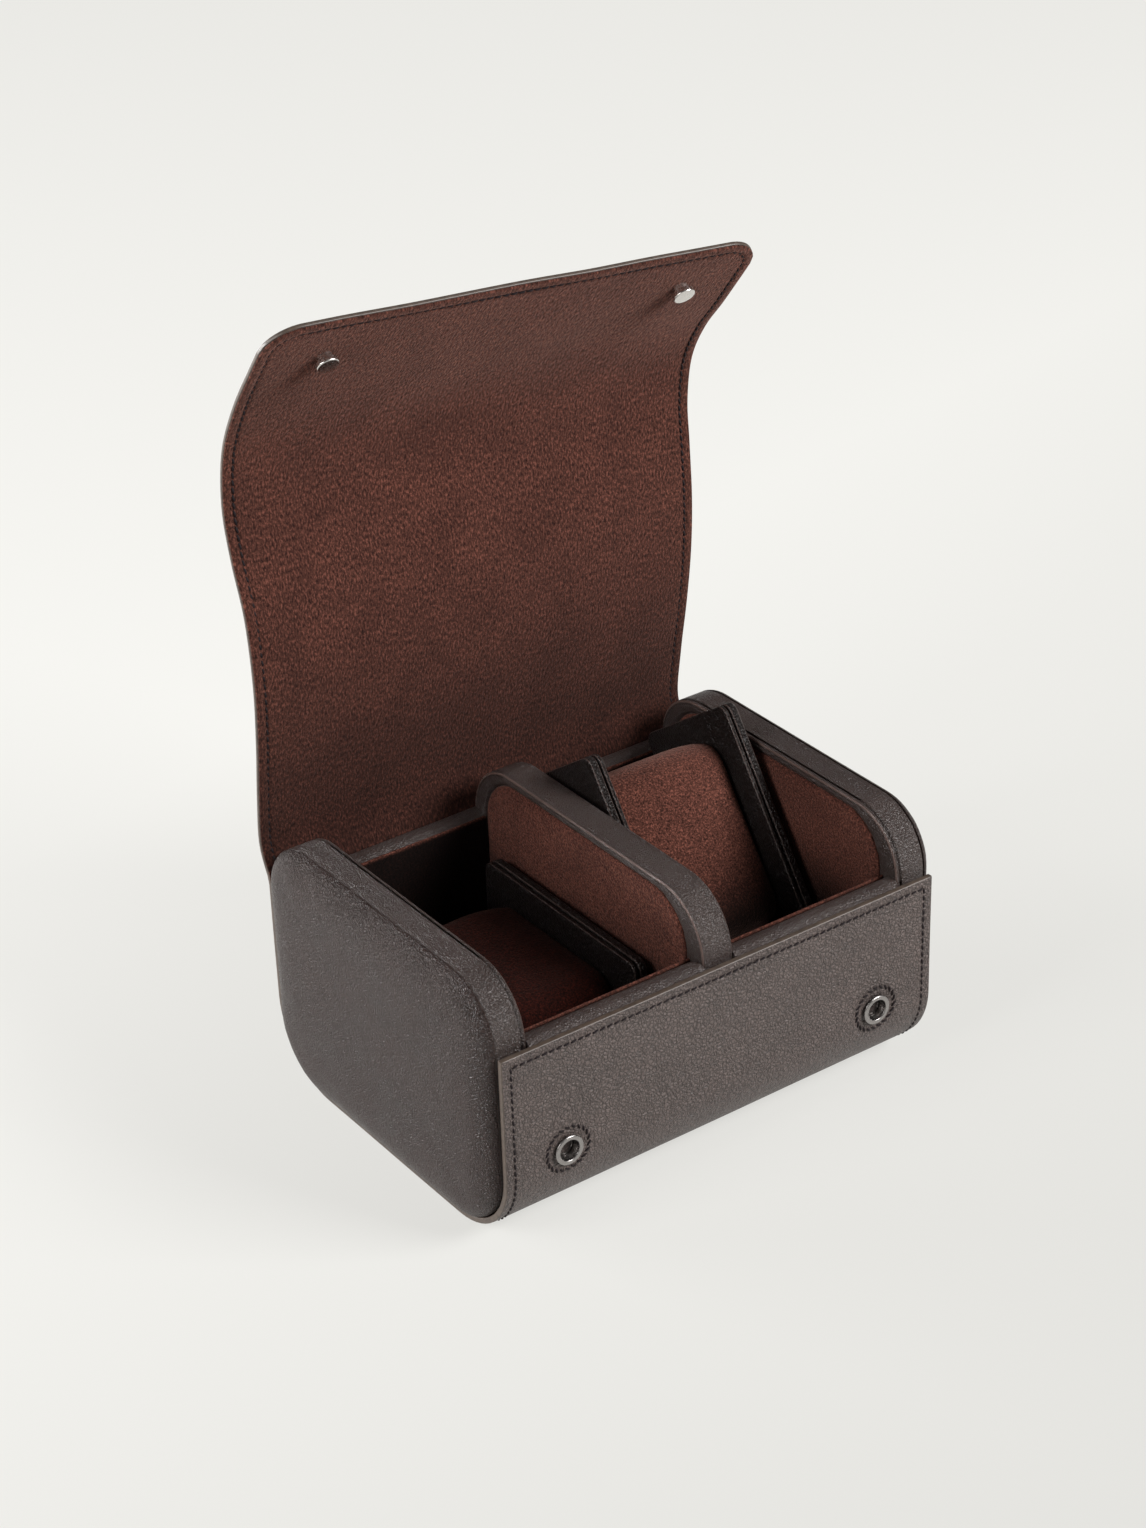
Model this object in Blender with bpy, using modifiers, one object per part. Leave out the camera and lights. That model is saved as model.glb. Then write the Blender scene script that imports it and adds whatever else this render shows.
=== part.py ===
"""Watch roll for two watches: a leather case with an open flap, two trays and two watch cushions.

Units are metres, +Z is up and the front faces -Y. The origin is the middle of the flat base.
"""

import math

import bmesh
import bpy
from mathutils import Matrix, Vector

# Driving dimensions of the case
CASE_WIDTH = 0.200
CASE_DEPTH = 0.1565
PANEL_TOP = 0.110
COVER_TOP = 0.0848
COVER_THICKNESS = 0.0024
COVER_BOTTOM_RADIUS = 0.033
FIT_GAP = 0.0003
CORNER_SEGMENTS = 7

# End panels and divider
PANEL_THICKNESS = 0.0137
PANEL_SETBACK = 0.0043
PANEL_TOP_RADIUS = 0.0244
PANEL_EDGE_ROUND = 0.0028
INSET_FRONT = 0.011
INSET_BACK = 0.008
INSET_TOP = 0.0042
INSET_BOTTOM = 0.008
INSET_DEPTH = 0.0016
PAD_BULGE = 0.0056
PAD_RING_COUNT = 5

# Trays
WALL_THICKNESS = 0.0087
FLOOR_THICKNESS = 0.0075
TRAY_TOP = 0.0862
TRAY_RIM_ROUND = 0.0036
LINING_THICKNESS = 0.0012
LINING_DROP = 0.0034

# Press studs
SNAP_FROM_SIDE = 0.0271
SNAP_ABOVE_CURVE = 0.0026
SNAP_SIDES = 24
SOCKET_FLANGE_RADIUS = 0.0062
SOCKET_FLANGE_THICKNESS = 0.0011
SOCKET_BARREL_RADIUS = 0.0050
SOCKET_BORE_RADIUS = 0.0038
SOCKET_DEPTH = 0.0050
SPRING_RADIUS = 0.0032
SPRING_WIRE_RADIUS = 0.00028
SPRING_OPENING_DEG = 50.0
WASHER_RADIUS = 0.0061
WASHER_THICKNESS = 0.0009
STUD_HEAD_RADIUS = 0.0040
STUD_HEAD_THICKNESS = 0.0016
STUD_NECK_RADIUS = 0.0026
STUD_HEIGHT = 0.0048
STUD_CAP_RADIUS = 0.0050
STUD_CAP_THICKNESS = 0.0005

# Watch cushions
PLATE_LENGTH = 0.0983
PLATE_HEIGHT = 0.0625
PLATE_CORNER_RADIUS = 0.0045
OUTER_PLATE_THICKNESS = 0.0036
INNER_PLATE_THICKNESS = 0.0020
PLY_GAP = 0.0007
PLATE_EDGE_ROUND = 0.0009
CUSHION_PLAY = 0.0077
PILLOW_INSET = 0.0095
PILLOW_CORNER_RADIUS = 0.013
PILLOW_CROWN = 0.0035
LEFT_CUSHION_SHIFT = -0.0004
LEFT_CUSHION_Y = 0.0038
RIGHT_CUSHION_SHIFT = -0.0007
RIGHT_CUSHION_TILT_DEG = 55.0

# Flap
FLAP_LEATHER_THICKNESS = 0.0016
FLAP_LINING_THICKNESS = 0.0009
FLAP_CORNER_RADIUS = 0.0136
FLAP_ROWS = 26
FLAP_COLUMNS = 6
FLAP_CORNER_COLUMNS = 4
FLAP_LINING_START = 0.0025
STUD_FROM_EDGE = 0.0215
# Side outlines of the opened flap: offsets back from the cover's outer face and up from its top edge
FLAP_LEFT_CURVE = (
    (0.0000, 0.0003), (0.0052, 0.0142), (0.0040, 0.0352), (0.0008, 0.0602), (-0.0006, 0.0852),
    (0.0018, 0.1122), (0.0078, 0.1342), (0.0108, 0.1552), (0.0072, 0.1782), (-0.0038, 0.1992),
    (-0.0178, 0.2187), (-0.0325, 0.2378),
)
FLAP_RIGHT_CURVE = (
    (0.0000, 0.0003), (0.0047, 0.0132), (0.0019, 0.0352), (-0.0023, 0.0582), (-0.0058, 0.0822),
    (-0.0069, 0.1052), (-0.0060, 0.1292), (-0.0050, 0.1472), (-0.0083, 0.1667), (-0.0176, 0.1837),
    (-0.0298, 0.1982), (-0.0418, 0.2132), (-0.0528, 0.2282),
)

HALF_WIDTH = CASE_WIDTH / 2
HALF_DEPTH = CASE_DEPTH / 2
PANEL_HALF_DEPTH = HALF_DEPTH - PANEL_SETBACK
FLOOR_UNDERSIDE = COVER_THICKNESS + FIT_GAP
TRAY_HALF_DEPTH = HALF_DEPTH - COVER_THICKNESS - FIT_GAP
TRAY_OUTER_RADIUS = COVER_BOTTOM_RADIUS - COVER_THICKNESS - FIT_GAP
TRAY_INNER_HALF_DEPTH = TRAY_HALF_DEPTH - WALL_THICKNESS
TRAY_FLOOR = FLOOR_UNDERSIDE + FLOOR_THICKNESS
TRAY_INNER_RADIUS = TRAY_OUTER_RADIUS - WALL_THICKNESS
LINING_FLOOR = TRAY_FLOOR + FIT_GAP + LINING_THICKNESS
TRAY_INNER_X = PANEL_THICKNESS / 2 + FIT_GAP
TRAY_OUTER_X = HALF_WIDTH - PANEL_THICKNESS - FIT_GAP
SNAP_X = HALF_WIDTH - SNAP_FROM_SIDE
SNAP_HEIGHT = COVER_BOTTOM_RADIUS + SNAP_ABOVE_CURVE
BAY_WIDTH = HALF_WIDTH - 1.5 * PANEL_THICKNESS
BAY_MIDDLE = (PANEL_THICKNESS / 2 + HALF_WIDTH - PANEL_THICKNESS) / 2
PLATES_WIDTH = 2 * (INNER_PLATE_THICKNESS + OUTER_PLATE_THICKNESS + PLY_GAP + FIT_GAP)
PILLOW_WIDTH = BAY_WIDTH - CUSHION_PLAY - PLATES_WIDTH
LEFT_CUSHION_X = LEFT_CUSHION_SHIFT - BAY_MIDDLE
RIGHT_CUSHION_X = BAY_MIDDLE + RIGHT_CUSHION_SHIFT
HINGE_Y = PANEL_HALF_DEPTH - PANEL_TOP_RADIUS
HINGE_Z = PANEL_TOP - PANEL_TOP_RADIUS
SIDES = (("left", -1), ("right", 1))


def clear_scene():
    for old in list(bpy.data.objects):
        bpy.data.objects.remove(old, do_unlink=True)


def new_collection(name):
    made = bpy.data.collections.new(name)
    bpy.context.scene.collection.children.link(made)
    return made


def new_material(name, colour, roughness, metallic=0.0):
    made = bpy.data.materials.new(name)
    made.use_nodes = True
    shader = made.node_tree.nodes["Principled BSDF"]
    shader.inputs["Base Color"].default_value = (*colour, 1.0)
    shader.inputs["Roughness"].default_value = roughness
    shader.inputs["Metallic"].default_value = metallic
    return made


clear_scene()
WATCH_ROLL = new_collection("watch_roll")
CUTTERS = new_collection("cutters")
CUTTERS.hide_render = True
LEATHER = new_material("brown_leather", (0.070, 0.056, 0.050), 0.42)
PAD_LEATHER = new_material("padded_leather", (0.062, 0.050, 0.046), 0.40)
RIM_LEATHER = new_material("rim_leather", (0.048, 0.038, 0.034), 0.42)
PLATE_LEATHER = new_material("plate_leather", (0.025, 0.020, 0.018), 0.40)
SUEDE = new_material("brown_suede", (0.090, 0.028, 0.020), 0.95)
STEEL = new_material("bright_nickel", (0.62, 0.60, 0.57), 0.22, 1.0)


def new_empty(name, location):
    made = bpy.data.objects.new(name, None)
    made.location = location
    WATCH_ROLL.objects.link(made)
    return made


def object_from(name, mesh, material, collection=None):
    made = bpy.data.objects.new(name, mesh)
    (collection or WATCH_ROLL).objects.link(made)
    if material:
        mesh.materials.append(material)
    mesh.shade_smooth()
    mesh.set_sharp_from_angle(angle=math.radians(35))
    return made


def object_from_bmesh(name, shape, material, collection=None):
    bmesh.ops.recalc_face_normals(shape, faces=shape.faces)
    mesh = bpy.data.meshes.new(name)
    shape.to_mesh(mesh)
    shape.free()
    return object_from(name, mesh, material, collection)


def arc(centre, radius, start_deg, end_deg, segments):
    """Points of an arc, both ends included."""
    points = []
    for i in range(segments + 1):
        angle = math.radians(start_deg + (end_deg - start_deg) * i / segments)
        points.append((centre[0] + radius * math.cos(angle), centre[1] + radius * math.sin(angle)))
    return points


def rounded_outline(low, high, bottom_radius, top_radius, segments=CORNER_SEGMENTS):
    """A rectangle with rounded corners, anticlockwise from the bottom right corner."""
    r, t = bottom_radius, top_radius
    return (
        arc((high[0] - r, low[1] + r), r, -90, 0, segments)
        + arc((high[0] - t, high[1] - t), t, 0, 90, segments)
        + arc((low[0] + t, high[1] - t), t, 90, 180, segments)
        + arc((low[0] + r, low[1] + r), r, 180, 270, segments)
    )


def outline_solid(name, outline, low_x, high_x, material, collection=None):
    """A flat outline in Y and Z, made solid from low_x to high_x."""
    curve = bpy.data.curves.new(name, "CURVE")
    curve.dimensions = "2D"
    curve.fill_mode = "BOTH"
    curve.extrude = (high_x - low_x) / 2
    spline = curve.splines.new("POLY")
    spline.points.add(len(outline) - 1)
    for point, (y, z) in zip(spline.points, outline):
        point.co = (y, z, 0, 1)
    spline.use_cyclic_u = True
    drawn = bpy.data.objects.new(name + "_outline", curve)
    WATCH_ROLL.objects.link(drawn)
    bpy.context.view_layer.update()
    evaluated = drawn.evaluated_get(bpy.context.evaluated_depsgraph_get())
    mesh = bpy.data.meshes.new_from_object(evaluated)
    bpy.data.objects.remove(drawn, do_unlink=True)
    shape = bmesh.new()
    shape.from_mesh(mesh)
    bpy.data.meshes.remove(mesh)
    bmesh.ops.remove_doubles(shape, verts=shape.verts, dist=1e-6)
    bmesh.ops.dissolve_limit(
        shape, angle_limit=math.radians(0.5), verts=shape.verts, edges=shape.edges
    )
    middle = (low_x + high_x) / 2
    upright = Matrix(((0, 0, 1, middle), (1, 0, 0, 0), (0, 1, 0, 0), (0, 0, 0, 1)))
    bmesh.ops.transform(shape, matrix=upright, verts=shape.verts)
    return object_from_bmesh(name, shape, material, collection)


def round_edges_at(solid, x_values, radius, segments=2):
    """Rounds the outline's edges that lie on the given X planes."""
    shape = bmesh.new()
    shape.from_mesh(solid.data)
    edges = [
        edge
        for edge in shape.edges
        if any(all(abs(v.co.x - x) < 1e-6 for v in edge.verts) for x in x_values)
    ]
    bmesh.ops.bevel(
        shape, geom=edges, offset=radius, segments=segments, profile=0.5, affect="EDGES"
    )
    shape.to_mesh(solid.data)
    shape.free()
    solid.data.shade_smooth()
    solid.data.set_sharp_from_angle(angle=math.radians(35))


def loft(name, rings, material):
    """A closed solid through rings of points, with a flat cap on the first and the last."""
    shape = bmesh.new()
    loops = [[shape.verts.new(point) for point in ring] for ring in rings]
    for first, second in zip(loops, loops[1:]):
        for i in range(len(first)):
            j = (i + 1) % len(first)
            shape.faces.new((first[i], first[j], second[j], second[i]))
    shape.faces.new(loops[0])
    shape.faces.new(loops[-1])
    return object_from_bmesh(name, shape, material)


def turned(name, profile, material, collection=None, closed=False):
    """A solid turned about Z from (radius, height) points that run down its outer side."""
    mesh = bpy.data.meshes.new(name)
    edges = [(i, i + 1) for i in range(len(profile) - 1)]
    if closed:
        edges.append((len(profile) - 1, 0))
    mesh.from_pydata([(radius, 0, height) for radius, height in profile], edges, [])
    made = bpy.data.objects.new(name, mesh)
    (collection or WATCH_ROLL).objects.link(made)
    if material:
        mesh.materials.append(material)
    screw = made.modifiers.new("Turn", "SCREW")
    screw.steps = SNAP_SIDES
    screw.render_steps = SNAP_SIDES
    screw.use_merge_vertices = True
    screw.merge_threshold = 0.00001
    screw.use_smooth_shade = True
    return made


def cylinder_cutter(name, radius, low, high, matrix):
    """A cylinder along the matrix's Z, from low to high."""
    shape = bmesh.new()
    bmesh.ops.create_cone(
        shape, cap_ends=True, segments=SNAP_SIDES, radius1=radius, radius2=radius, depth=high - low
    )
    bmesh.ops.translate(shape, verts=shape.verts, vec=(0, 0, (low + high) / 2))
    bmesh.ops.transform(shape, matrix=matrix, verts=shape.verts)
    cutter = object_from_bmesh(name, shape, None, CUTTERS)
    cutter.hide_render = True
    cutter.display_type = "WIRE"
    return cutter


def cut(solid, cutter):
    boolean = solid.modifiers.new("Cut " + cutter.name, "BOOLEAN")
    boolean.operation = "DIFFERENCE"
    boolean.solver = "EXACT"
    boolean.object = cutter


def hide_as_cutter(solid):
    solid.hide_render = True
    solid.display_type = "WIRE"


def u_outline(half_depth, radius, base, top, thickness, floor, inner_radius):
    """A U-shaped section: two walls and a floor, with rounded corners below."""
    outer_right = arc((half_depth - radius, base + radius), radius, -90, 0, CORNER_SEGMENTS)
    outer_left = arc((radius - half_depth, base + radius), radius, 180, 270, CORNER_SEGMENTS)
    inner_half = half_depth - thickness
    inner_base = base + floor
    centre = inner_half - inner_radius
    inner_left = arc((-centre, inner_base + inner_radius), inner_radius, 270, 180, CORNER_SEGMENTS)
    inner_right = arc((centre, inner_base + inner_radius), inner_radius, 0, -90, CORNER_SEGMENTS)
    return (
        outer_left
        + outer_right
        + [(half_depth, top), (inner_half, top)]
        + inner_right
        + inner_left
        + [(-inner_half, top), (-half_depth, top)]
    )


def snap_frame(x):
    """Z points out of the front face, at one press-stud's place on it."""
    return Matrix.Translation((x, -HALF_DEPTH, SNAP_HEIGHT)) @ Matrix.Rotation(math.pi / 2, 4, "X")


def make_cover(case):
    outline = u_outline(
        HALF_DEPTH,
        COVER_BOTTOM_RADIUS,
        0,
        COVER_TOP,
        COVER_THICKNESS,
        COVER_THICKNESS,
        COVER_BOTTOM_RADIUS - COVER_THICKNESS,
    )
    cover = outline_solid("cover_leather", outline, -HALF_WIDTH, HALF_WIDTH, LEATHER)
    cover.parent = case
    for side, sign in SIDES:
        hole = cylinder_cutter(
            "socket_hole_" + side,
            SOCKET_BARREL_RADIUS + FIT_GAP,
            -2 * COVER_THICKNESS,
            COVER_THICKNESS,
            snap_frame(sign * SNAP_X),
        )
        cut(cover, hole)


def make_trays(case):
    shell_outline = u_outline(
        TRAY_HALF_DEPTH,
        TRAY_OUTER_RADIUS,
        FLOOR_UNDERSIDE,
        TRAY_TOP,
        WALL_THICKNESS,
        FLOOR_THICKNESS,
        TRAY_INNER_RADIUS,
    )
    lining_outline = u_outline(
        TRAY_INNER_HALF_DEPTH - FIT_GAP,
        TRAY_INNER_RADIUS - FIT_GAP,
        TRAY_FLOOR + FIT_GAP,
        TRAY_TOP - LINING_DROP,
        LINING_THICKNESS,
        LINING_THICKNESS,
        TRAY_INNER_RADIUS - FIT_GAP - LINING_THICKNESS,
    )
    pocket_depth = COVER_THICKNESS + FIT_GAP + SOCKET_DEPTH
    for side, sign in SIDES:
        low, high = sorted((sign * TRAY_INNER_X, sign * TRAY_OUTER_X))
        shell = outline_solid("tray_shell_" + side, shell_outline, low, high, RIM_LEATHER)
        round_rim(shell)
        shell.parent = case
        pocket = cylinder_cutter(
            "washer_pocket_" + side,
            WASHER_RADIUS + FIT_GAP,
            -pocket_depth,
            COVER_THICKNESS,
            snap_frame(sign * SNAP_X),
        )
        cut(shell, pocket)
        inner_low, inner_high = low + FIT_GAP, high - FIT_GAP
        lining = outline_solid(
            "tray_lining_" + side, lining_outline, inner_low, inner_high, SUEDE
        )
        lining.parent = case


def round_rim(shell):
    """Rounds both long edges on top of each wall."""
    shape = bmesh.new()
    shape.from_mesh(shell.data)
    edges = []
    for edge in shape.edges:
        along_x = abs(edge.verts[0].co.x - edge.verts[1].co.x) > TRAY_OUTER_X / 2
        if along_x and all(abs(v.co.z - TRAY_TOP) < 1e-6 for v in edge.verts):
            edges.append(edge)
    bmesh.ops.bevel(
        shape, geom=edges, offset=TRAY_RIM_ROUND, segments=4, profile=0.5, affect="EDGES"
    )
    shape.to_mesh(shell.data)
    shape.free()


def panel_outline(inset=0.0):
    """The outline that the end panels and the divider share."""
    bottom_radius = COVER_BOTTOM_RADIUS - PANEL_SETBACK
    return rounded_outline(
        (-PANEL_HALF_DEPTH + inset, FLOOR_UNDERSIDE + inset),
        (PANEL_HALF_DEPTH - inset, PANEL_TOP - inset),
        max(bottom_radius - inset, 0.004),
        max(PANEL_TOP_RADIUS - inset, 0.004),
    )


def inset_outline(gap):
    """The outline of the suede inset, smaller all round by a gap."""
    return rounded_outline(
        (-PANEL_HALF_DEPTH + INSET_FRONT + gap, FLOOR_UNDERSIDE + INSET_BOTTOM + gap),
        (PANEL_HALF_DEPTH - INSET_BACK - gap, PANEL_TOP - INSET_TOP - gap),
        COVER_BOTTOM_RADIUS - PANEL_SETBACK - INSET_BOTTOM,
        PANEL_TOP_RADIUS - INSET_TOP,
    )


def add_inset(board, name, face_x, outward, case):
    """A shallow recess in a board's face at face_x, which looks along outward, and its suede."""
    floor_x = face_x - outward * INSET_DEPTH
    low, high = sorted((floor_x, face_x + outward * INSET_DEPTH))
    recess = outline_solid(name + "_recess", inset_outline(0), low, high, None, CUTTERS)
    hide_as_cutter(recess)
    cut(board, recess)
    low, high = sorted(
        (floor_x + outward * FIT_GAP, floor_x + outward * (FIT_GAP + LINING_THICKNESS))
    )
    lining = outline_solid(name, inset_outline(FIT_GAP), low, high, SUEDE)
    lining.parent = case


def make_ends(case):
    for side, sign in SIDES:
        inner = sign * (HALF_WIDTH - PANEL_THICKNESS)
        outer = sign * HALF_WIDTH
        low, high = sorted((inner, outer))
        board = outline_solid("end_board_" + side, panel_outline(), low, high, RIM_LEATHER)
        round_edges_at(board, (inner,), PANEL_EDGE_ROUND)
        board.parent = case
        add_inset(board, "end_lining_" + side, inner, -sign, case)
        make_pad(side, sign, case)


def make_pad(side, sign, case):
    """The domed pad outside an end: steep at its seam and almost flat in the middle."""
    rings = []
    for i in range(PAD_RING_COUNT + 1):
        turn = math.radians(90 * i / PAD_RING_COUNT)
        inset = PANEL_TOP_RADIUS * (1 - math.cos(turn)) ** 1.6
        height = PAD_BULGE * math.sin(turn)
        x = sign * (HALF_WIDTH + FIT_GAP + height)
        rings.append([(x, y, z) for y, z in panel_outline(inset)])
    pad = loft("end_pad_" + side, rings, PAD_LEATHER)
    pad.parent = case


def make_divider(case):
    half = PANEL_THICKNESS / 2
    board = outline_solid("divider_board", panel_outline(), -half, half, RIM_LEATHER)
    round_edges_at(board, (-half, half), PANEL_EDGE_ROUND)
    board.parent = case
    for side, sign in SIDES:
        add_inset(board, "divider_lining_" + side, sign * half, sign, case)


def make_sockets(case):
    for side, sign in SIDES:
        frame = snap_frame(sign * SNAP_X)
        face = FIT_GAP
        crown = face + SOCKET_FLANGE_THICKNESS
        profile = [
            (SOCKET_BORE_RADIUS + 0.0004, crown),
            (SOCKET_FLANGE_RADIUS - 0.0007, crown),
            (SOCKET_FLANGE_RADIUS, crown - 0.0006),
            (SOCKET_FLANGE_RADIUS, face),
            (SOCKET_BARREL_RADIUS, face),
            (SOCKET_BARREL_RADIUS, -SOCKET_DEPTH),
            (SOCKET_BORE_RADIUS, -SOCKET_DEPTH),
            (SOCKET_BORE_RADIUS, crown - 0.0005),
        ]
        socket = turned("snap_socket_" + side, profile, STEEL, closed=True)
        socket.matrix_world = frame
        socket.parent = case
        washer_face = -COVER_THICKNESS - 2 * FIT_GAP
        washer_profile = [
            (WASHER_RADIUS, washer_face),
            (WASHER_RADIUS, washer_face - WASHER_THICKNESS),
            (SOCKET_BARREL_RADIUS + FIT_GAP, washer_face - WASHER_THICKNESS),
            (SOCKET_BARREL_RADIUS + FIT_GAP, washer_face),
        ]
        washer = turned("snap_washer_" + side, washer_profile, STEEL, closed=True)
        washer.matrix_world = frame
        washer.parent = case
        make_spring(side, frame, case)


def make_spring(side, frame, case):
    """An open ring of wire inside the socket, which grips the stud."""
    curve = bpy.data.curves.new("snap_spring_" + side, "CURVE")
    curve.dimensions = "3D"
    curve.bevel_depth = SPRING_WIRE_RADIUS
    curve.bevel_resolution = 1
    curve.use_fill_caps = True
    spline = curve.splines.new("POLY")
    half_opening = SPRING_OPENING_DEG / 2
    points = arc((0, 0), SPRING_RADIUS, 90 + half_opening, 450 - half_opening, 20)
    spline.points.add(len(points) - 1)
    depth = -SOCKET_DEPTH / 2
    for point, (x, y) in zip(spline.points, points):
        point.co = (x, y, depth, 1)
    spring = bpy.data.objects.new("snap_spring_" + side, curve)
    curve.materials.append(STEEL)
    WATCH_ROLL.objects.link(spring)
    spring.matrix_world = frame
    spring.parent = case


def plate_outline():
    return rounded_outline(
        (-PLATE_LENGTH / 2, -PLATE_HEIGHT / 2),
        (PLATE_LENGTH / 2, PLATE_HEIGHT / 2),
        PLATE_CORNER_RADIUS,
        PLATE_CORNER_RADIUS,
        3,
    )


def pillow_rings():
    """Sections of the pillow from plate to plate, fuller in the middle."""
    rings = []
    steps = 6
    for i in range(steps + 1):
        along = i / steps * 2 - 1
        x = along * PILLOW_WIDTH / 2
        inset = PILLOW_INSET + PILLOW_CROWN * (abs(along) ** 3 - 0.4)
        outline = rounded_outline(
            (-PLATE_LENGTH / 2 + inset, -PLATE_HEIGHT / 2 + inset),
            (PLATE_LENGTH / 2 - inset, PLATE_HEIGHT / 2 - inset),
            PILLOW_CORNER_RADIUS,
            PILLOW_CORNER_RADIUS,
            4,
        )
        rings.append([(x, y, z) for y, z in outline])
    return rings


def make_cushion(side, location, tilt, case):
    """A pillow between two pairs of plates, about its own middle."""
    holder = new_empty("cushion_" + side, location)
    holder.rotation_euler = (tilt, 0, 0)
    holder.parent = case
    name = "cushion_" + side + "_"
    pillow = loft(name + "pillow", pillow_rings(), SUEDE)
    pillow.parent = holder
    for end, sign in SIDES:
        inner_near = PILLOW_WIDTH / 2 + FIT_GAP
        inner_far = inner_near + INNER_PLATE_THICKNESS
        outer_near = inner_far + PLY_GAP
        outer_far = outer_near + OUTER_PLATE_THICKNESS
        for kind, near, far in (
            ("inner_plate_", inner_near, inner_far),
            ("outer_plate_", outer_near, outer_far),
        ):
            low, high = sorted((sign * near, sign * far))
            plate = outline_solid(name + kind + end, plate_outline(), low, high, PLATE_LEATHER)
            round_edges_at(plate, (low, high), PLATE_EDGE_ROUND)
            plate.parent = holder


def make_cushions(case):
    """The left cushion lies in its tray, and the right one stands between floor and back rim."""
    curve_y = TRAY_INNER_HALF_DEPTH - TRAY_INNER_RADIUS
    curve_radius = TRAY_INNER_RADIUS - FIT_GAP - LINING_THICKNESS
    past = max(LEFT_CUSHION_Y + PLATE_LENGTH / 2 - PLATE_CORNER_RADIUS - curve_y, 0)
    corner_reach = curve_radius - PLATE_CORNER_RADIUS - FIT_GAP
    corner_rise = curve_radius - math.sqrt(corner_reach**2 - past**2) - PLATE_CORNER_RADIUS
    lying_z = LINING_FLOOR + corner_rise + PLATE_HEIGHT / 2
    make_cushion("left", (LEFT_CUSHION_X, LEFT_CUSHION_Y, lying_z), 0, case)
    tilt = math.radians(RIGHT_CUSHION_TILT_DEG)
    half_length = PLATE_LENGTH / 2 - PLATE_CORNER_RADIUS
    half_height = PLATE_HEIGHT / 2 - PLATE_CORNER_RADIUS
    foot_drop = half_length * math.sin(tilt) + half_height * math.cos(tilt)
    standing_z = LINING_FLOOR + FIT_GAP + PLATE_CORNER_RADIUS + foot_drop
    heel_rise = half_length * math.sin(tilt) - half_height * math.cos(tilt)
    heel_reach = half_length * math.cos(tilt) + half_height * math.sin(tilt)
    rim_y = TRAY_INNER_HALF_DEPTH + TRAY_RIM_ROUND
    rim_z = TRAY_TOP - TRAY_RIM_ROUND
    contact = PLATE_CORNER_RADIUS + TRAY_RIM_ROUND + FIT_GAP
    heel_z = standing_z + heel_rise
    heel_y_at_rim = rim_y - math.sqrt(max(contact**2 - (heel_z - rim_z) ** 2, 0))
    lining_y = TRAY_INNER_HALF_DEPTH - FIT_GAP - LINING_THICKNESS
    below_heel = (heel_z - (TRAY_TOP - LINING_DROP)) * math.cos(tilt)
    edge_reach = (PLATE_CORNER_RADIUS + FIT_GAP - below_heel) / math.sin(tilt)
    standing_y = min(heel_y_at_rim, lining_y - edge_reach) - heel_reach
    make_cushion("right", (RIGHT_CUSHION_X, standing_y, standing_z), tilt, case)


def curve_length_table(points, steps=16):
    """A smooth curve through the points, as (length so far, point) pairs."""
    table = []
    last = None
    length = 0.0
    for i in range(len(points) - 1):
        before = Vector(points[max(i - 1, 0)])
        start = Vector(points[i])
        end = Vector(points[i + 1])
        after = Vector(points[min(i + 2, len(points) - 1)])
        for k in range(steps + 1):
            if table and k == 0:
                continue
            t = k / steps
            place = 0.5 * (
                2 * start
                + (end - before) * t
                + (2 * before - 5 * start + 4 * end - after) * t**2
                + (3 * start - before - 3 * end + after) * t**3
            )
            length += (place - last).length if last else 0.0
            last = place
            table.append((length, place))
    return table


LEFT_TABLE = curve_length_table(FLAP_LEFT_CURVE)
RIGHT_TABLE = curve_length_table(FLAP_RIGHT_CURVE)
FLAP_LENGTH = (LEFT_TABLE[-1][0] + RIGHT_TABLE[-1][0]) / 2


def along_curve(table, fraction):
    """The point at a fraction of a curve's length, carried on straight past its ends."""
    wanted = fraction * table[-1][0]
    for (length_a, a), (length_b, b) in zip(table, table[1:]):
        if wanted <= length_b or (length_b, b) == table[-1]:
            return a.lerp(b, (wanted - length_a) / (length_b - length_a))
    return table[-1][1]


def flap_surface(x, s):
    """The outer leather surface of the flap at x, a length s above the cover's top edge."""
    left = along_curve(LEFT_TABLE, s / FLAP_LENGTH)
    right = along_curve(RIGHT_TABLE, s / FLAP_LENGTH)
    back, up = left.lerp(right, (x + HALF_WIDTH) / CASE_WIDTH)
    return Vector((x, HALF_DEPTH + back, COVER_TOP + up))


def flap_frame(x, s):
    """A frame on the flap whose Z points to the suede side."""
    step = 0.0015
    place = flap_surface(x, s)
    across = (flap_surface(x + step, s) - flap_surface(x - step, s)).normalized()
    up = (flap_surface(x, s + step) - flap_surface(x, s - step)).normalized()
    inward = across.cross(up).normalized()
    up = inward.cross(across)
    matrix = Matrix((across, up, inward)).transposed().to_4x4()
    matrix.translation = place
    return matrix


def flap_top(x):
    """The flap's length at x, shorter in its rounded corners."""
    into_corner = abs(x) - (HALF_WIDTH - FLAP_CORNER_RADIUS)
    if into_corner <= 0:
        return FLAP_LENGTH
    drop = FLAP_CORNER_RADIUS - math.sqrt(max(FLAP_CORNER_RADIUS**2 - into_corner**2, 0))
    return FLAP_LENGTH - drop


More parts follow.
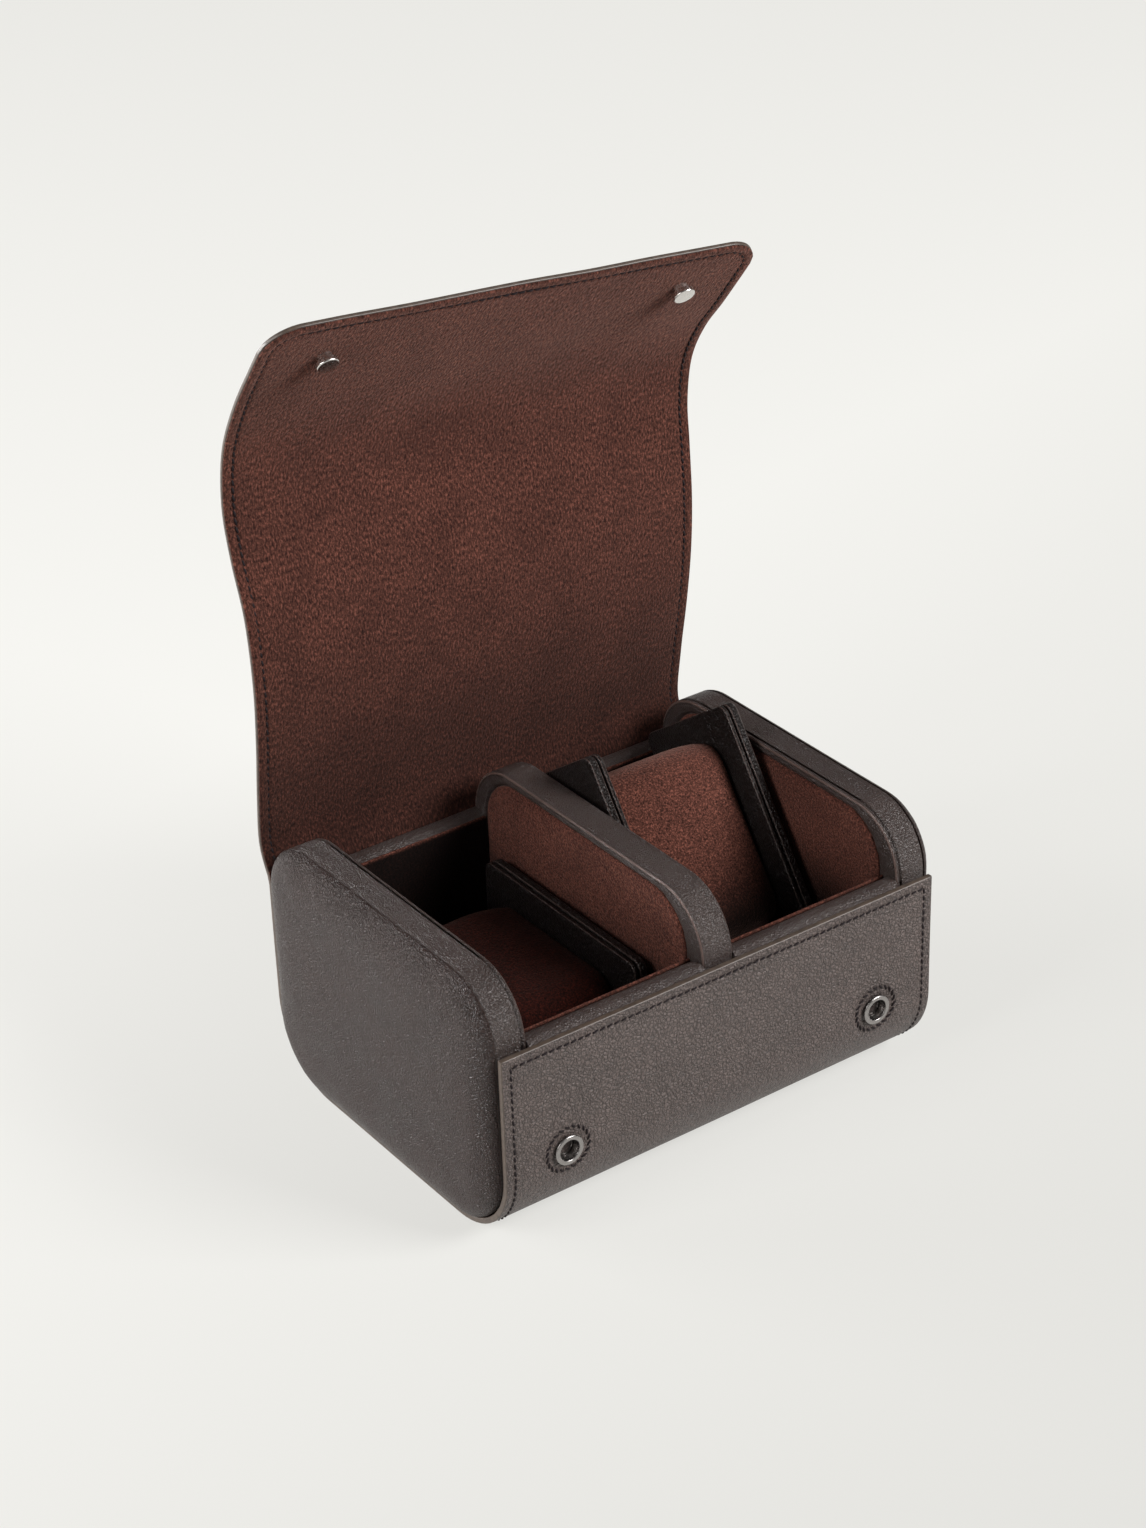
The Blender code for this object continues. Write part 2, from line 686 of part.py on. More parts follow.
def flap_columns():
    """X of each column of the flap's grid, closer together in the rounded corners."""
    corner = []
    for i in range(FLAP_CORNER_COLUMNS + 1):
        turn = math.radians(90 * i / FLAP_CORNER_COLUMNS)
        corner.append(HALF_WIDTH - FLAP_CORNER_RADIUS + FLAP_CORNER_RADIUS * math.sin(turn))
    inner = HALF_WIDTH - FLAP_CORNER_RADIUS
    middle = [inner * (2 * i / FLAP_COLUMNS - 1) for i in range(1, FLAP_COLUMNS)]
    return [-x for x in reversed(corner)] + middle + corner


def flap_rows(with_foot):
    """Lengths of the grid's rows. Both layers share them, and only the leather has the foot row."""
    even = [FLAP_LENGTH * i / FLAP_ROWS for i in range(1, FLAP_ROWS + 1)]
    return ([0.0] if with_foot else []) + [FLAP_LINING_START] + even


def flap_sheet(name, with_foot, depth, thickness, material):
    """One layer of the flap, from a grid laid on the flap's surface and thickened inwards."""
    columns = flap_columns()
    rows = flap_rows(with_foot)
    shape = bmesh.new()
    bmesh.ops.create_grid(
        shape, x_segments=len(columns) - 1, y_segments=len(rows) - 1, size=0.5
    )
    for vert in shape.verts:
        x = columns[round((vert.co.x + 0.5) * (len(columns) - 1))]
        row = rows[round((vert.co.y + 0.5) * (len(rows) - 1))]
        frame = flap_frame(x, row * flap_top(x) / FLAP_LENGTH)
        vert.co = frame @ Vector((0, 0, depth))
    mesh = bpy.data.meshes.new(name)
    shape.to_mesh(mesh)
    shape.free()
    sheet = object_from(name, mesh, material)
    solidify = sheet.modifiers.new("Thickness", "SOLIDIFY")
    solidify.thickness = thickness
    solidify.offset = 1
    solidify.use_even_offset = True
    return sheet


def make_flap(lid):
    leather = flap_sheet("flap_leather", True, 0, FLAP_LEATHER_THICKNESS, LEATHER)
    lining_face = FLAP_LEATHER_THICKNESS + FIT_GAP
    lining = flap_sheet("flap_lining", False, lining_face, FLAP_LINING_THICKNESS, SUEDE)
    lining_top = lining_face + FLAP_LINING_THICKNESS
    cap_top = FLAP_LEATHER_THICKNESS - FIT_GAP / 2
    for side, sign in SIDES:
        frame = flap_frame(sign * SNAP_X, FLAP_LENGTH - STUD_FROM_EDGE)
        pocket = cylinder_cutter(
            "cap_pocket_" + side,
            STUD_CAP_RADIUS + FIT_GAP,
            cap_top - STUD_CAP_THICKNESS - FIT_GAP,
            2 * lining_top,
            frame,
        )
        cut(leather, pocket)
        hole = cylinder_cutter(
            "stud_hole_" + side, STUD_NECK_RADIUS + FIT_GAP, 0, 3 * lining_top, frame
        )
        cut(lining, hole)
        cap_profile = [
            (0, cap_top),
            (STUD_CAP_RADIUS, cap_top),
            (STUD_CAP_RADIUS, cap_top - STUD_CAP_THICKNESS),
            (0, cap_top - STUD_CAP_THICKNESS),
        ]
        cap = turned("stud_cap_" + side, cap_profile, STEEL)
        cap.matrix_world = frame
        head_top = lining_top + STUD_HEIGHT
        head_low = head_top - STUD_HEAD_THICKNESS
        stud_profile = [
            (0, head_top),
            (STUD_HEAD_RADIUS - 0.0006, head_top),
            (STUD_HEAD_RADIUS, head_top - 0.0005),
            (STUD_HEAD_RADIUS, head_low + 0.0004),
            (STUD_NECK_RADIUS, head_low),
            (STUD_NECK_RADIUS, cap_top + FIT_GAP),
            (0, cap_top + FIT_GAP),
        ]
        stud = turned("snap_stud_" + side, stud_profile, STEEL)
        stud.matrix_world = frame
        for piece in (cap, stud):
            keep_place_under(piece, lid)
    for piece in (leather, lining):
        keep_place_under(piece, lid)


def keep_place_under(piece, parent):
    """Parents a piece without moving it."""
    bpy.context.view_layer.update()
    piece.parent = parent
    piece.matrix_parent_inverse = parent.matrix_world.inverted()


case_body = new_empty("case", (0, 0, 0))
lid_body = new_empty("lid", (0, HINGE_Y, HINGE_Z))
make_cover(case_body)
make_trays(case_body)
make_ends(case_body)
make_divider(case_body)
make_sockets(case_body)
make_cushions(case_body)
make_flap(lid_body)
bpy.context.view_layer.update()
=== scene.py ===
"""Watch roll: the visible pieces, their finishes, the light and the camera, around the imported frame."""

import math

import bmesh
import bpy
import numpy as np
from mathutils import Matrix, Vector, noise


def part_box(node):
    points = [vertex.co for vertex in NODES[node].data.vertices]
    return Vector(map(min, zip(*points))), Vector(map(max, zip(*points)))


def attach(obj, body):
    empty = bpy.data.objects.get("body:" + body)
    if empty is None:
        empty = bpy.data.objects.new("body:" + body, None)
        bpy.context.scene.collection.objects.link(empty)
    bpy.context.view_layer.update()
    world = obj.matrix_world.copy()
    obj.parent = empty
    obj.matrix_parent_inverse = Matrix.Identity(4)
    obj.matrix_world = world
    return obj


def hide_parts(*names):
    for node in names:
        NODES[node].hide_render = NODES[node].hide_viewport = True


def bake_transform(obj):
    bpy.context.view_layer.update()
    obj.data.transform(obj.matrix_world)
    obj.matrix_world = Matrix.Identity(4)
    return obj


bl_info = {
    "name": "Watch roll",
    "version": (1, 0, 0),
    "blender": (4, 5, 0),
    "location": "View3D > Sidebar > Watch roll",
    "description": "Builds the leather, suede and metal of an open watch roll",
    "category": "Add Mesh",
}

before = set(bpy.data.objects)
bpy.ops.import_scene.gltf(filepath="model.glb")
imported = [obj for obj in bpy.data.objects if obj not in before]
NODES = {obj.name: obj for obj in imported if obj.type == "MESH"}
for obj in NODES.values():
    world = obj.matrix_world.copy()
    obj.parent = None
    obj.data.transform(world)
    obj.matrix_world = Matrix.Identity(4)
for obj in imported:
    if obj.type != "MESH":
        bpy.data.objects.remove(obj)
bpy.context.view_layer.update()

COVER_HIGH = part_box("cover_leather")[1]
PANEL_LOW, PANEL_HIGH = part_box("divider_board")
TRAY_LOW, TRAY_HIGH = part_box("tray_shell_right")
TRAY_LINING_LOW, TRAY_LINING_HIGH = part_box("tray_lining_right")
INSET_LOW, INSET_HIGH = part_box("end_lining_right")
PAD_LOW, PAD_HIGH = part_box("end_pad_right")
PLATE_LOW, PLATE_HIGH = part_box("cushion_left_outer_plate_left")
PILLOW_LOW, PILLOW_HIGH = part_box("cushion_left_pillow")

HALF_WIDTH = COVER_HIGH[0]
HALF_DEPTH = COVER_HIGH[1]
COVER_TOP = COVER_HIGH[2]
PANEL_HALF_DEPTH = PANEL_HIGH[1]
PANEL_FOOT = PANEL_LOW[2]
PANEL_TOP = PANEL_HIGH[2]
PANEL_THICKNESS = PANEL_HIGH[0] - PANEL_LOW[0]
GAP = 0.0003
COVER_THICKNESS = PANEL_FOOT - GAP
COVER_BOTTOM_RADIUS = 0.033
PANEL_TOP_RADIUS = 0.0244
PANEL_BOTTOM_RADIUS = COVER_BOTTOM_RADIUS - (HALF_DEPTH - PANEL_HALF_DEPTH)
TRAY_TOP = TRAY_HIGH[2]
TRAY_HALF_DEPTH = TRAY_HIGH[1]
WALL_THICKNESS = 0.0087
FLOOR_THICKNESS = 0.0075
RIM_ROUND = 0.0036
SNAP_X = 0.0729
SNAP_Z = 0.0356
FLAP_LEATHER = 0.0016
FLAP_SUEDE = 0.0009
FLAP_CORNER = 0.0136
STUD_FROM_EDGE = 0.0215
SUEDE_DEPTH = FLAP_LEATHER + GAP * 0.4
CUSHION_TILT = 55.0
# Heights between which the painted shade on the suede in the bays fades out: dark at the first, full
# colour at the second
BAY_SHADE_HEIGHTS = (TRAY_TOP - 0.034, TRAY_TOP - 0.006)
SIDES = (("left", -1), ("right", 1))

# The opened flap's side outlines, as in the frame: offsets back and up from the cover's top edge
FLAP_LEFT_CURVE = (
    (0.0000, 0.0003), (0.0052, 0.0142), (0.0040, 0.0352), (0.0008, 0.0602), (-0.0006, 0.0852),
    (0.0018, 0.1122), (0.0078, 0.1342), (0.0108, 0.1552), (0.0072, 0.1782), (-0.0038, 0.1992),
    (-0.0178, 0.2187), (-0.0325, 0.2378),
)
FLAP_RIGHT_CURVE = (
    (0.0000, 0.0003), (0.0047, 0.0132), (0.0019, 0.0352), (-0.0023, 0.0582), (-0.0058, 0.0822),
    (-0.0069, 0.1052), (-0.0060, 0.1292), (-0.0050, 0.1472), (-0.0083, 0.1667), (-0.0176, 0.1837),
    (-0.0298, 0.1982), (-0.0418, 0.2132), (-0.0528, 0.2282),
)


class WatchRollSizes(bpy.types.PropertyGroup):
    """Sizes of the sewing, grain and padding."""

    stitch_inset: bpy.props.FloatProperty(
        name="Stitch inset", description="From the leather's edge to the seam",
        default=0.0037, unit="LENGTH",
    )
    stitch_pitch: bpy.props.FloatProperty(
        name="Stitch pitch", description="From one stitch to the next", default=0.0032,
        unit="LENGTH",
    )
    thread_thickness: bpy.props.FloatProperty(
        name="Thread thickness", description="Diameter of the sewing thread", default=0.0009,
        unit="LENGTH",
    )
    snap_seam_radius: bpy.props.FloatProperty(
        name="Socket seam radius", description="Radius of the seam round each socket",
        default=0.0094, unit="LENGTH",
    )
    pad_bulge: bpy.props.FloatProperty(
        name="Pad bulge", description="How far the end pads stand out",
        default=PAD_HIGH[0] - PAD_LOW[0], unit="LENGTH",
    )
    grain_size: bpy.props.FloatProperty(
        name="Grain size", description="Width of one pebble of the leather's grain",
        default=0.00095, unit="LENGTH",
    )


class WatchRollColours(bpy.types.PropertyGroup):
    """Colours of the finishes."""

    cover: bpy.props.FloatVectorProperty(
        name="Cover leather", description="Front panel and outside of the flap",
        subtype="COLOR", size=3, default=(0.090, 0.066, 0.059),
    )
    pad: bpy.props.FloatVectorProperty(
        name="Pad leather", description="Padded ends", subtype="COLOR", size=3,
        default=(0.030, 0.0165, 0.0138),
    )
    rim: bpy.props.FloatVectorProperty(
        name="Rim leather", description="Rims of the panels and trays", subtype="COLOR", size=3,
        default=(0.042, 0.027, 0.023),
    )
    plate: bpy.props.FloatVectorProperty(
        name="Plate leather", description="Plates of the watch cushions", subtype="COLOR", size=3,
        default=(0.012, 0.008, 0.007),
    )
    suede: bpy.props.FloatVectorProperty(
        name="Suede", description="Linings and pillows", subtype="COLOR", size=3,
        default=(0.074, 0.0262, 0.0183),
    )
    edge: bpy.props.FloatVectorProperty(
        name="Painted edge", description="Edge paint of the cover", subtype="COLOR", size=3,
        default=(0.060, 0.043, 0.033),
    )
    floor: bpy.props.FloatVectorProperty(
        name="Floor", description="Pale floor and backdrop", subtype="COLOR", size=3,
        default=(0.80, 0.80, 0.77),
    )


def sizes():
    return bpy.context.scene.watch_roll_sizes


def colours():
    return bpy.context.scene.watch_roll_colours


# Outlines and surfaces


def arc(centre, radius, start_deg, end_deg, segments):
    """Points on a circle's arc, in the plane that the centre is given in."""
    angles = np.radians(np.linspace(start_deg, end_deg, segments + 1))
    return [(centre[0] + radius * math.cos(a), centre[1] + radius * math.sin(a)) for a in angles]


def spread(start, end, step):
    """Points between start and end, both left out, about a step apart."""
    count = max(int(round(math.dist(start, end) / step)), 1)
    return [
        (start[0] + (end[0] - start[0]) * i / count, start[1] + (end[1] - start[1]) * i / count)
        for i in range(1, count)
    ]


def matched_outline(low, high, bottom_radius, top_radius, inset=0.0):
    """The outline inset by a distance, with as many points at any inset."""
    r = max(bottom_radius - inset, 0.0022)
    t = max(top_radius - inset, 0.0022)
    low = (low[0] + inset, low[1] + inset)
    high = (high[0] - inset, high[1] - inset)
    corners = (
        arc((high[0] - r, low[1] + r), r, -90, 0, 14),
        arc((high[0] - t, high[1] - t), t, 0, 90, 14),
        arc((low[0] + t, high[1] - t), t, 90, 180, 14),
        arc((low[0] + r, low[1] + r), r, 180, 270, 14),
    )
    counts = (7, 12, 7, 12)
    points = []
    for i, corner in enumerate(corners):
        start, end = corner[-1], corners[(i + 1) % 4][0]
        between = [
            (start[0] + (end[0] - start[0]) * k / counts[i],
             start[1] + (end[1] - start[1]) * k / counts[i])
            for k in range(1, counts[i])
        ]
        points += corner + between
    return np.array(points)


def ring_at(x, outline):
    """An outline's points, set at one x."""
    return np.column_stack([np.full(len(outline), x), outline])


def panel_outline(inset=0.0):
    return matched_outline(
        (-PANEL_HALF_DEPTH, PANEL_FOOT), (PANEL_HALF_DEPTH, PANEL_TOP),
        PANEL_BOTTOM_RADIUS, PANEL_TOP_RADIUS, inset,
    )


def inset_outline(gap=0.0):
    """The suede inset's outline on a panel's face."""
    return matched_outline(
        (INSET_LOW[1] - GAP, INSET_LOW[2] - GAP), (INSET_HIGH[1] + GAP, INSET_HIGH[2] + GAP),
        PANEL_BOTTOM_RADIUS - 0.008, PANEL_TOP_RADIUS - 0.0042, gap,
    )


def smooth_table(points, steps=24):
    """A smooth curve through the points, with the length up to each place on it."""
    places = []
    last = len(points) - 1
    for i in range(last):
        before, start = np.array(points[max(i - 1, 0)]), np.array(points[i])
        end, after = np.array(points[i + 1]), np.array(points[min(i + 2, last)])
        for k in range(steps + (i == last - 1)):
            t = k / steps
            places.append(
                0.5
                * (
                    2 * start
                    + (end - before) * t
                    + (2 * before - 5 * start + 4 * end - after) * t**2
                    + (3 * start - before - 3 * end + after) * t**3
                )
            )
    places = np.array(places)
    lengths = np.concatenate(([0], np.cumsum(np.hypot(*np.diff(places, axis=0).T))))
    return lengths, places


LEFT_TABLE = smooth_table(FLAP_LEFT_CURVE)
RIGHT_TABLE = smooth_table(FLAP_RIGHT_CURVE)
FLAP_LENGTH = (LEFT_TABLE[0][-1] + RIGHT_TABLE[0][-1]) / 2


def along(table, fraction):
    """Places at a fraction of a curve's length, and straight on past its end."""
    lengths, places = table
    wanted = fraction * lengths[-1]
    found = np.stack([np.interp(wanted, lengths, places[:, k]) for k in (0, 1)], -1)
    past = np.clip(wanted - lengths[-1], 0, None)[..., None]
    end_way = (places[-1] - places[-3]) / np.linalg.norm(places[-1] - places[-3])
    return found + past * end_way


def flap_surface(x, s):
    """Outer face of the flap at x, a length s above the cover's top edge."""
    fraction = np.asarray(s) / FLAP_LENGTH
    share = ((np.asarray(x) + HALF_WIDTH) / (2 * HALF_WIDTH))[..., None]
    back_up = along(LEFT_TABLE, fraction) * (1 - share) + along(RIGHT_TABLE, fraction) * share
    return np.stack([np.asarray(x), HALF_DEPTH + back_up[..., 0], COVER_TOP + back_up[..., 1]], -1)


WALL_LENGTH = COVER_TOP - COVER_BOTTOM_RADIUS
CORNER_LENGTH = COVER_BOTTOM_RADIUS * math.pi / 2
BASE_LENGTH = 2 * (HALF_DEPTH - COVER_BOTTOM_RADIUS)
CASE_LENGTH = 2 * WALL_LENGTH + 2 * CORNER_LENGTH + BASE_LENGTH
SHEET_LENGTH = CASE_LENGTH + FLAP_LENGTH


def case_surface(x, t):
    """Outer face of the cover a length t from its front top edge: down, under and up the back."""
    t = np.asarray(t, float)
    r = COVER_BOTTOM_RADIUS
    c = HALF_DEPTH - r
    marks = np.cumsum([WALL_LENGTH, CORNER_LENGTH, BASE_LENGTH, CORNER_LENGTH])
    front_turn = np.clip((t - marks[0]) / r, 0, math.pi / 2)
    back_turn = np.clip((t - marks[2]) / r, 0, math.pi / 2)
    y = np.where(t < marks[0], -HALF_DEPTH, -c - r * np.cos(front_turn))
    z = np.where(t < marks[0], COVER_TOP - t, r - r * np.sin(front_turn))
    on_base = (t >= marks[1]) & (t < marks[2])
    y = np.where(on_base, -c + (t - marks[1]), y)
    z = np.where(on_base, 0.0, z)
    in_back = (t >= marks[2]) & (t < marks[3])
    y = np.where(in_back, c + r * np.sin(back_turn), y)
    z = np.where(in_back, r - r * np.cos(back_turn), z)
    up_back = t >= marks[3]
    y = np.where(up_back, HALF_DEPTH, y)
    z = np.where(up_back, r + t - marks[3], z)
    return np.stack([np.broadcast_to(x, y.shape), y, z], -1)


def sheet_surface(x, t):
    """Outer face of the whole sheet: front, base, back and flap."""
    x = np.asarray(x, float)
    t = np.asarray(t, float)
    x, t = np.broadcast_arrays(x, t)
    on_flap = (t > CASE_LENGTH)[..., None]
    return np.where(
        on_flap, flap_surface(x, np.maximum(t - CASE_LENGTH, 0)), case_surface(x, t)
    )


def sheet_frames(x, t):
    """Places, ways across, ways along and outward normals on the sheet."""
    step = 0.0006
    place = sheet_surface(x, t)
    across = sheet_surface(x + step, t) - sheet_surface(x - step, t)
    ahead = sheet_surface(x, t + step) - sheet_surface(x, np.maximum(t - step, 0))
    across /= np.linalg.norm(across, axis=-1, keepdims=True)
    ahead /= np.linalg.norm(ahead, axis=-1, keepdims=True)
    out = np.cross(ahead, across)
    out /= np.linalg.norm(out, axis=-1, keepdims=True)
    return place, across, ahead, out


def sheet_edge_distance(x, t):
    """How far a place is from the sheet's nearest edge, with the flap's corners rounded."""
    side = HALF_WIDTH - np.abs(x)
    front = t
    top = SHEET_LENGTH - t
    distance = np.minimum(np.minimum(side, front), top)
    r = FLAP_CORNER
    corner = (side < r) & (top < r)
    return np.where(corner, r - np.hypot(r - side, r - top), distance)


def lumpy(points, size, seed=0.0):
    """Slow noise at each point, from about -1 to 1."""
    shift = Vector((seed * 3.1, seed * 7.7, seed * 1.3))
    return np.array([noise.noise(Vector(p) / size + shift) for p in points])


# Meshes and pieces


def mesh_piece(name, points, faces, materials, flat_angle=40):
    """A piece from points and faces, smooth but for edges sharper than flat_angle."""
    mesh = bpy.data.meshes.new(name)
    mesh.from_pydata([tuple(p) for p in points], [], faces)
    made = bpy.data.objects.new(name, mesh)
    bpy.context.scene.collection.objects.link(made)
    for material in materials:
        mesh.materials.append(material)
    finish_mesh(mesh, flat_angle)
    return made


def points_of(mesh):
    return np.array([v.co for v in mesh.vertices])


def set_points(mesh, points):
    mesh.vertices.foreach_set("co", points.astype(np.float32).ravel())
    mesh.update()


def finish_mesh(mesh, flat_angle=40):
    shape = bmesh.new()
    shape.from_mesh(mesh)
    bmesh.ops.recalc_face_normals(shape, faces=shape.faces)
    shape.to_mesh(mesh)
    shape.free()
    mesh.shade_smooth()
    mesh.set_sharp_from_angle(angle=math.radians(flat_angle))


def ring_faces(ring_count, around, caps=True):
    """Faces of a loft through rings that each have as many points."""
    faces = []
    for i in range(ring_count - 1):
        for k in range(around):
            n = (k + 1) % around
            faces.append((i * around + k, i * around + n, (i + 1) * around + n, (i + 1) * around + k))
    if caps:
        faces.append(tuple(range(around))[::-1])
        last = (ring_count - 1) * around
        faces.append(tuple(last + k for k in range(around)))
    return faces


def loft(name, rings, material, flat_angle=40, bead=None, bead_bands=()):
    """Closed skin over rings; the bands that start at the rings in bead_bands are of bead."""
    rings = [np.asarray(ring) for ring in rings]
    around = len(rings[0])
    made = mesh_piece(
        name, np.concatenate(rings), ring_faces(len(rings), around),
        [material, bead] if bead else [material], flat_angle,
    )
    for band in bead_bands:
        for face in made.data.polygons[band * around:(band + 1) * around]:
            face.material_index = 1
    return made


def turned(name, profile, material, matrix, sides=56, closed=False, flat_angle=32):
    """A turned piece from (radius, height) points about the matrix's Z."""
    turns = np.linspace(0, 2 * math.pi, sides, endpoint=False)
    rings = [[(r * math.cos(a), r * math.sin(a), h) for a in turns] for r, h in profile]
    if closed:
        rings.append(rings[0])
    points = np.concatenate([np.array(ring) for ring in rings])
    made = mesh_piece(
        name, points, ring_faces(len(rings), sides, not closed), [material], flat_angle
    )
    shape = bmesh.new()
    shape.from_mesh(made.data)
    bmesh.ops.remove_doubles(shape, verts=shape.verts, dist=1e-7)
    bmesh.ops.recalc_face_normals(shape, faces=shape.faces)
    bmesh.ops.transform(shape, matrix=matrix, verts=shape.verts)
    shape.to_mesh(made.data)
    shape.free()
    return made


def baked(made):
    """Applies a piece's modifiers."""
    bpy.context.view_layer.update()
    evaluated = made.evaluated_get(bpy.context.evaluated_depsgraph_get())
    mesh = bpy.data.meshes.new_from_object(evaluated)
    made.modifiers.clear()
    made.data = mesh
    return made


def settle(made, body, nodes=()):
    """Puts a piece on its body and hides the parts that it stands for."""
    if body:
        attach(made, body)
    if nodes:
        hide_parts(*nodes)
    return made


def evened(mesh, move, pinned, rounds=14):
    """The moves of a mesh's points, each averaged with its neighbours' a few times."""
    ends = np.empty(len(mesh.edges) * 2, np.int32)
    mesh.edges.foreach_get("vertices", ends)
    first, second = ends[0::2], ends[1::2]
    counts = np.bincount(ends, minlength=len(move))[:, None]
    held = np.zeros(len(move), bool)
    held[list(pinned)] = True
    for _ in range(rounds):
        total = np.zeros_like(move)
        np.add.at(total, first, move[second])
        np.add.at(total, second, move[first])
        move = 0.4 * move + 0.6 * total / np.maximum(counts, 1)
        move[held] = 0
    return move


def inflate(made, pinned, pressure, cap, frames=20):
    """Swells a closed mesh a little with cloth and air pressure, and holds its pinned points."""
    mesh = made.data
    rest = points_of(mesh)
    group = made.vertex_groups.new(name="seam")
    group.add([int(i) for i in pinned], 1.0, "REPLACE")
    cloth = made.modifiers.new("Cloth", "CLOTH")
    settings = cloth.settings
    settings.quality = 6
    settings.mass = 0.25
    settings.tension_stiffness = 22
    settings.compression_stiffness = 22
    settings.shear_stiffness = 12
    settings.bending_stiffness = 1.2
    settings.use_pressure = True
    settings.uniform_pressure_force = pressure
    settings.vertex_group_mass = "seam"
    settings.effector_weights.gravity = 0
    cloth.collision_settings.use_collision = False
    cloth.point_cache.frame_start = 1
    cloth.point_cache.frame_end = frames
    scene = bpy.context.scene
    for number in range(1, frames + 1):
        scene.frame_set(number)
    evaluated = made.evaluated_get(bpy.context.evaluated_depsgraph_get())
    swollen = points_of(evaluated.to_mesh())
    evaluated.to_mesh_clear()
    made.modifiers.clear()
    made.vertex_groups.clear()
    scene.frame_set(1)
    move = swollen - rest
    size = np.linalg.norm(move, axis=1, keepdims=True)
    move *= np.minimum(1, cap / np.maximum(size, 1e-9))
    move = evened(mesh, move, pinned)
    set_points(mesh, rest + move)
    return made


# Finishes


NOISE = "ShaderNodeTexNoise"
CELLS = "ShaderNodeTexVoronoi"


def new_material(name):
    material = bpy.data.materials.new(name)
    material.use_nodes = True
    return material, material.node_tree, material.node_tree.nodes["Principled BSDF"]


def node(tree, kind, settings=None, **inputs):
    made = tree.nodes.new(kind)
    for name, value in (settings or {}).items():
        setattr(made, name, value)
    for name, value in inputs.items():
        made.inputs[name.replace("_", " ")].default_value = value
    return made


def link(tree, a, out, b, into):
    tree.links.new(a.outputs[out], b.inputs[into])


def place_node(tree, from_uv):
    """Where a texture is read, as a node and its socket: the flat sheet or the piece itself."""
    if from_uv:
        made = tree.nodes.new("ShaderNodeUVMap")
        made.uv_map = "flat"
        return made, "UV"
    return tree.nodes.new("ShaderNodeTexCoord"), "Object"


def read_at(place, tree, kind, settings=None, **inputs):
    """A node that is read at a place, which is a node and its socket."""
    made = node(tree, kind, settings, **inputs)
    link(tree, *place, made, "Vector")
    return made


def bumped(tree, height, socket, strength, distance, under=None):
    """A bump from a height, laid over an earlier bump if there is one."""
    made = node(tree, "ShaderNodeBump", Strength=strength, Distance=distance)
    link(tree, height, socket, made, "Height")
    if under:
        link(tree, under, "Normal", made, "Normal")
    return made


def multiplied(tree, first, second, share=1.0):
    """Two colours multiplied, each given as a node and its socket."""
    made = node(tree, "ShaderNodeMixRGB", {"blend_type": "MULTIPLY"}, Fac=share)
    link(tree, *first, made, "Color1")
    link(tree, *second, made, "Color2")
    return made


def scaled_sum(tree, first, factor, second):
    """The first value times a factor, plus the second."""
    made = node(tree, "ShaderNodeMath", {"operation": "MULTIPLY_ADD"})
    made.inputs[1].default_value = factor
    link(tree, *first, made, 0)
    link(tree, *second, made, 2)
    return made


def uneven_gloss(tree, source, roughness, shader):
    """Roughness that wanders a little round its value."""
    gloss = node(
        tree, "ShaderNodeMapRange", From_Min=0.3, From_Max=0.7, To_Min=roughness - 0.05,
        To_Max=roughness + 0.08,
    )
    link(tree, source, "Fac", gloss, "Value")
    link(tree, gloss, "Result", shader, "Roughness")


def shade_of(colour, factor):
    return (*(min(c * factor, 1.0) for c in colour), 1.0)


def ramp(tree, stops):
    """A colour ramp from (place, colour) stops."""
    made = tree.nodes.new("ShaderNodeValToRGB")
    elements = made.color_ramp.elements
    while len(elements) > 1:
        elements.remove(elements[-1])
    elements[0].position, elements[0].color = stops[0]
    for position, colour in stops[1:]:
        elements.new(position).color = colour
    return made


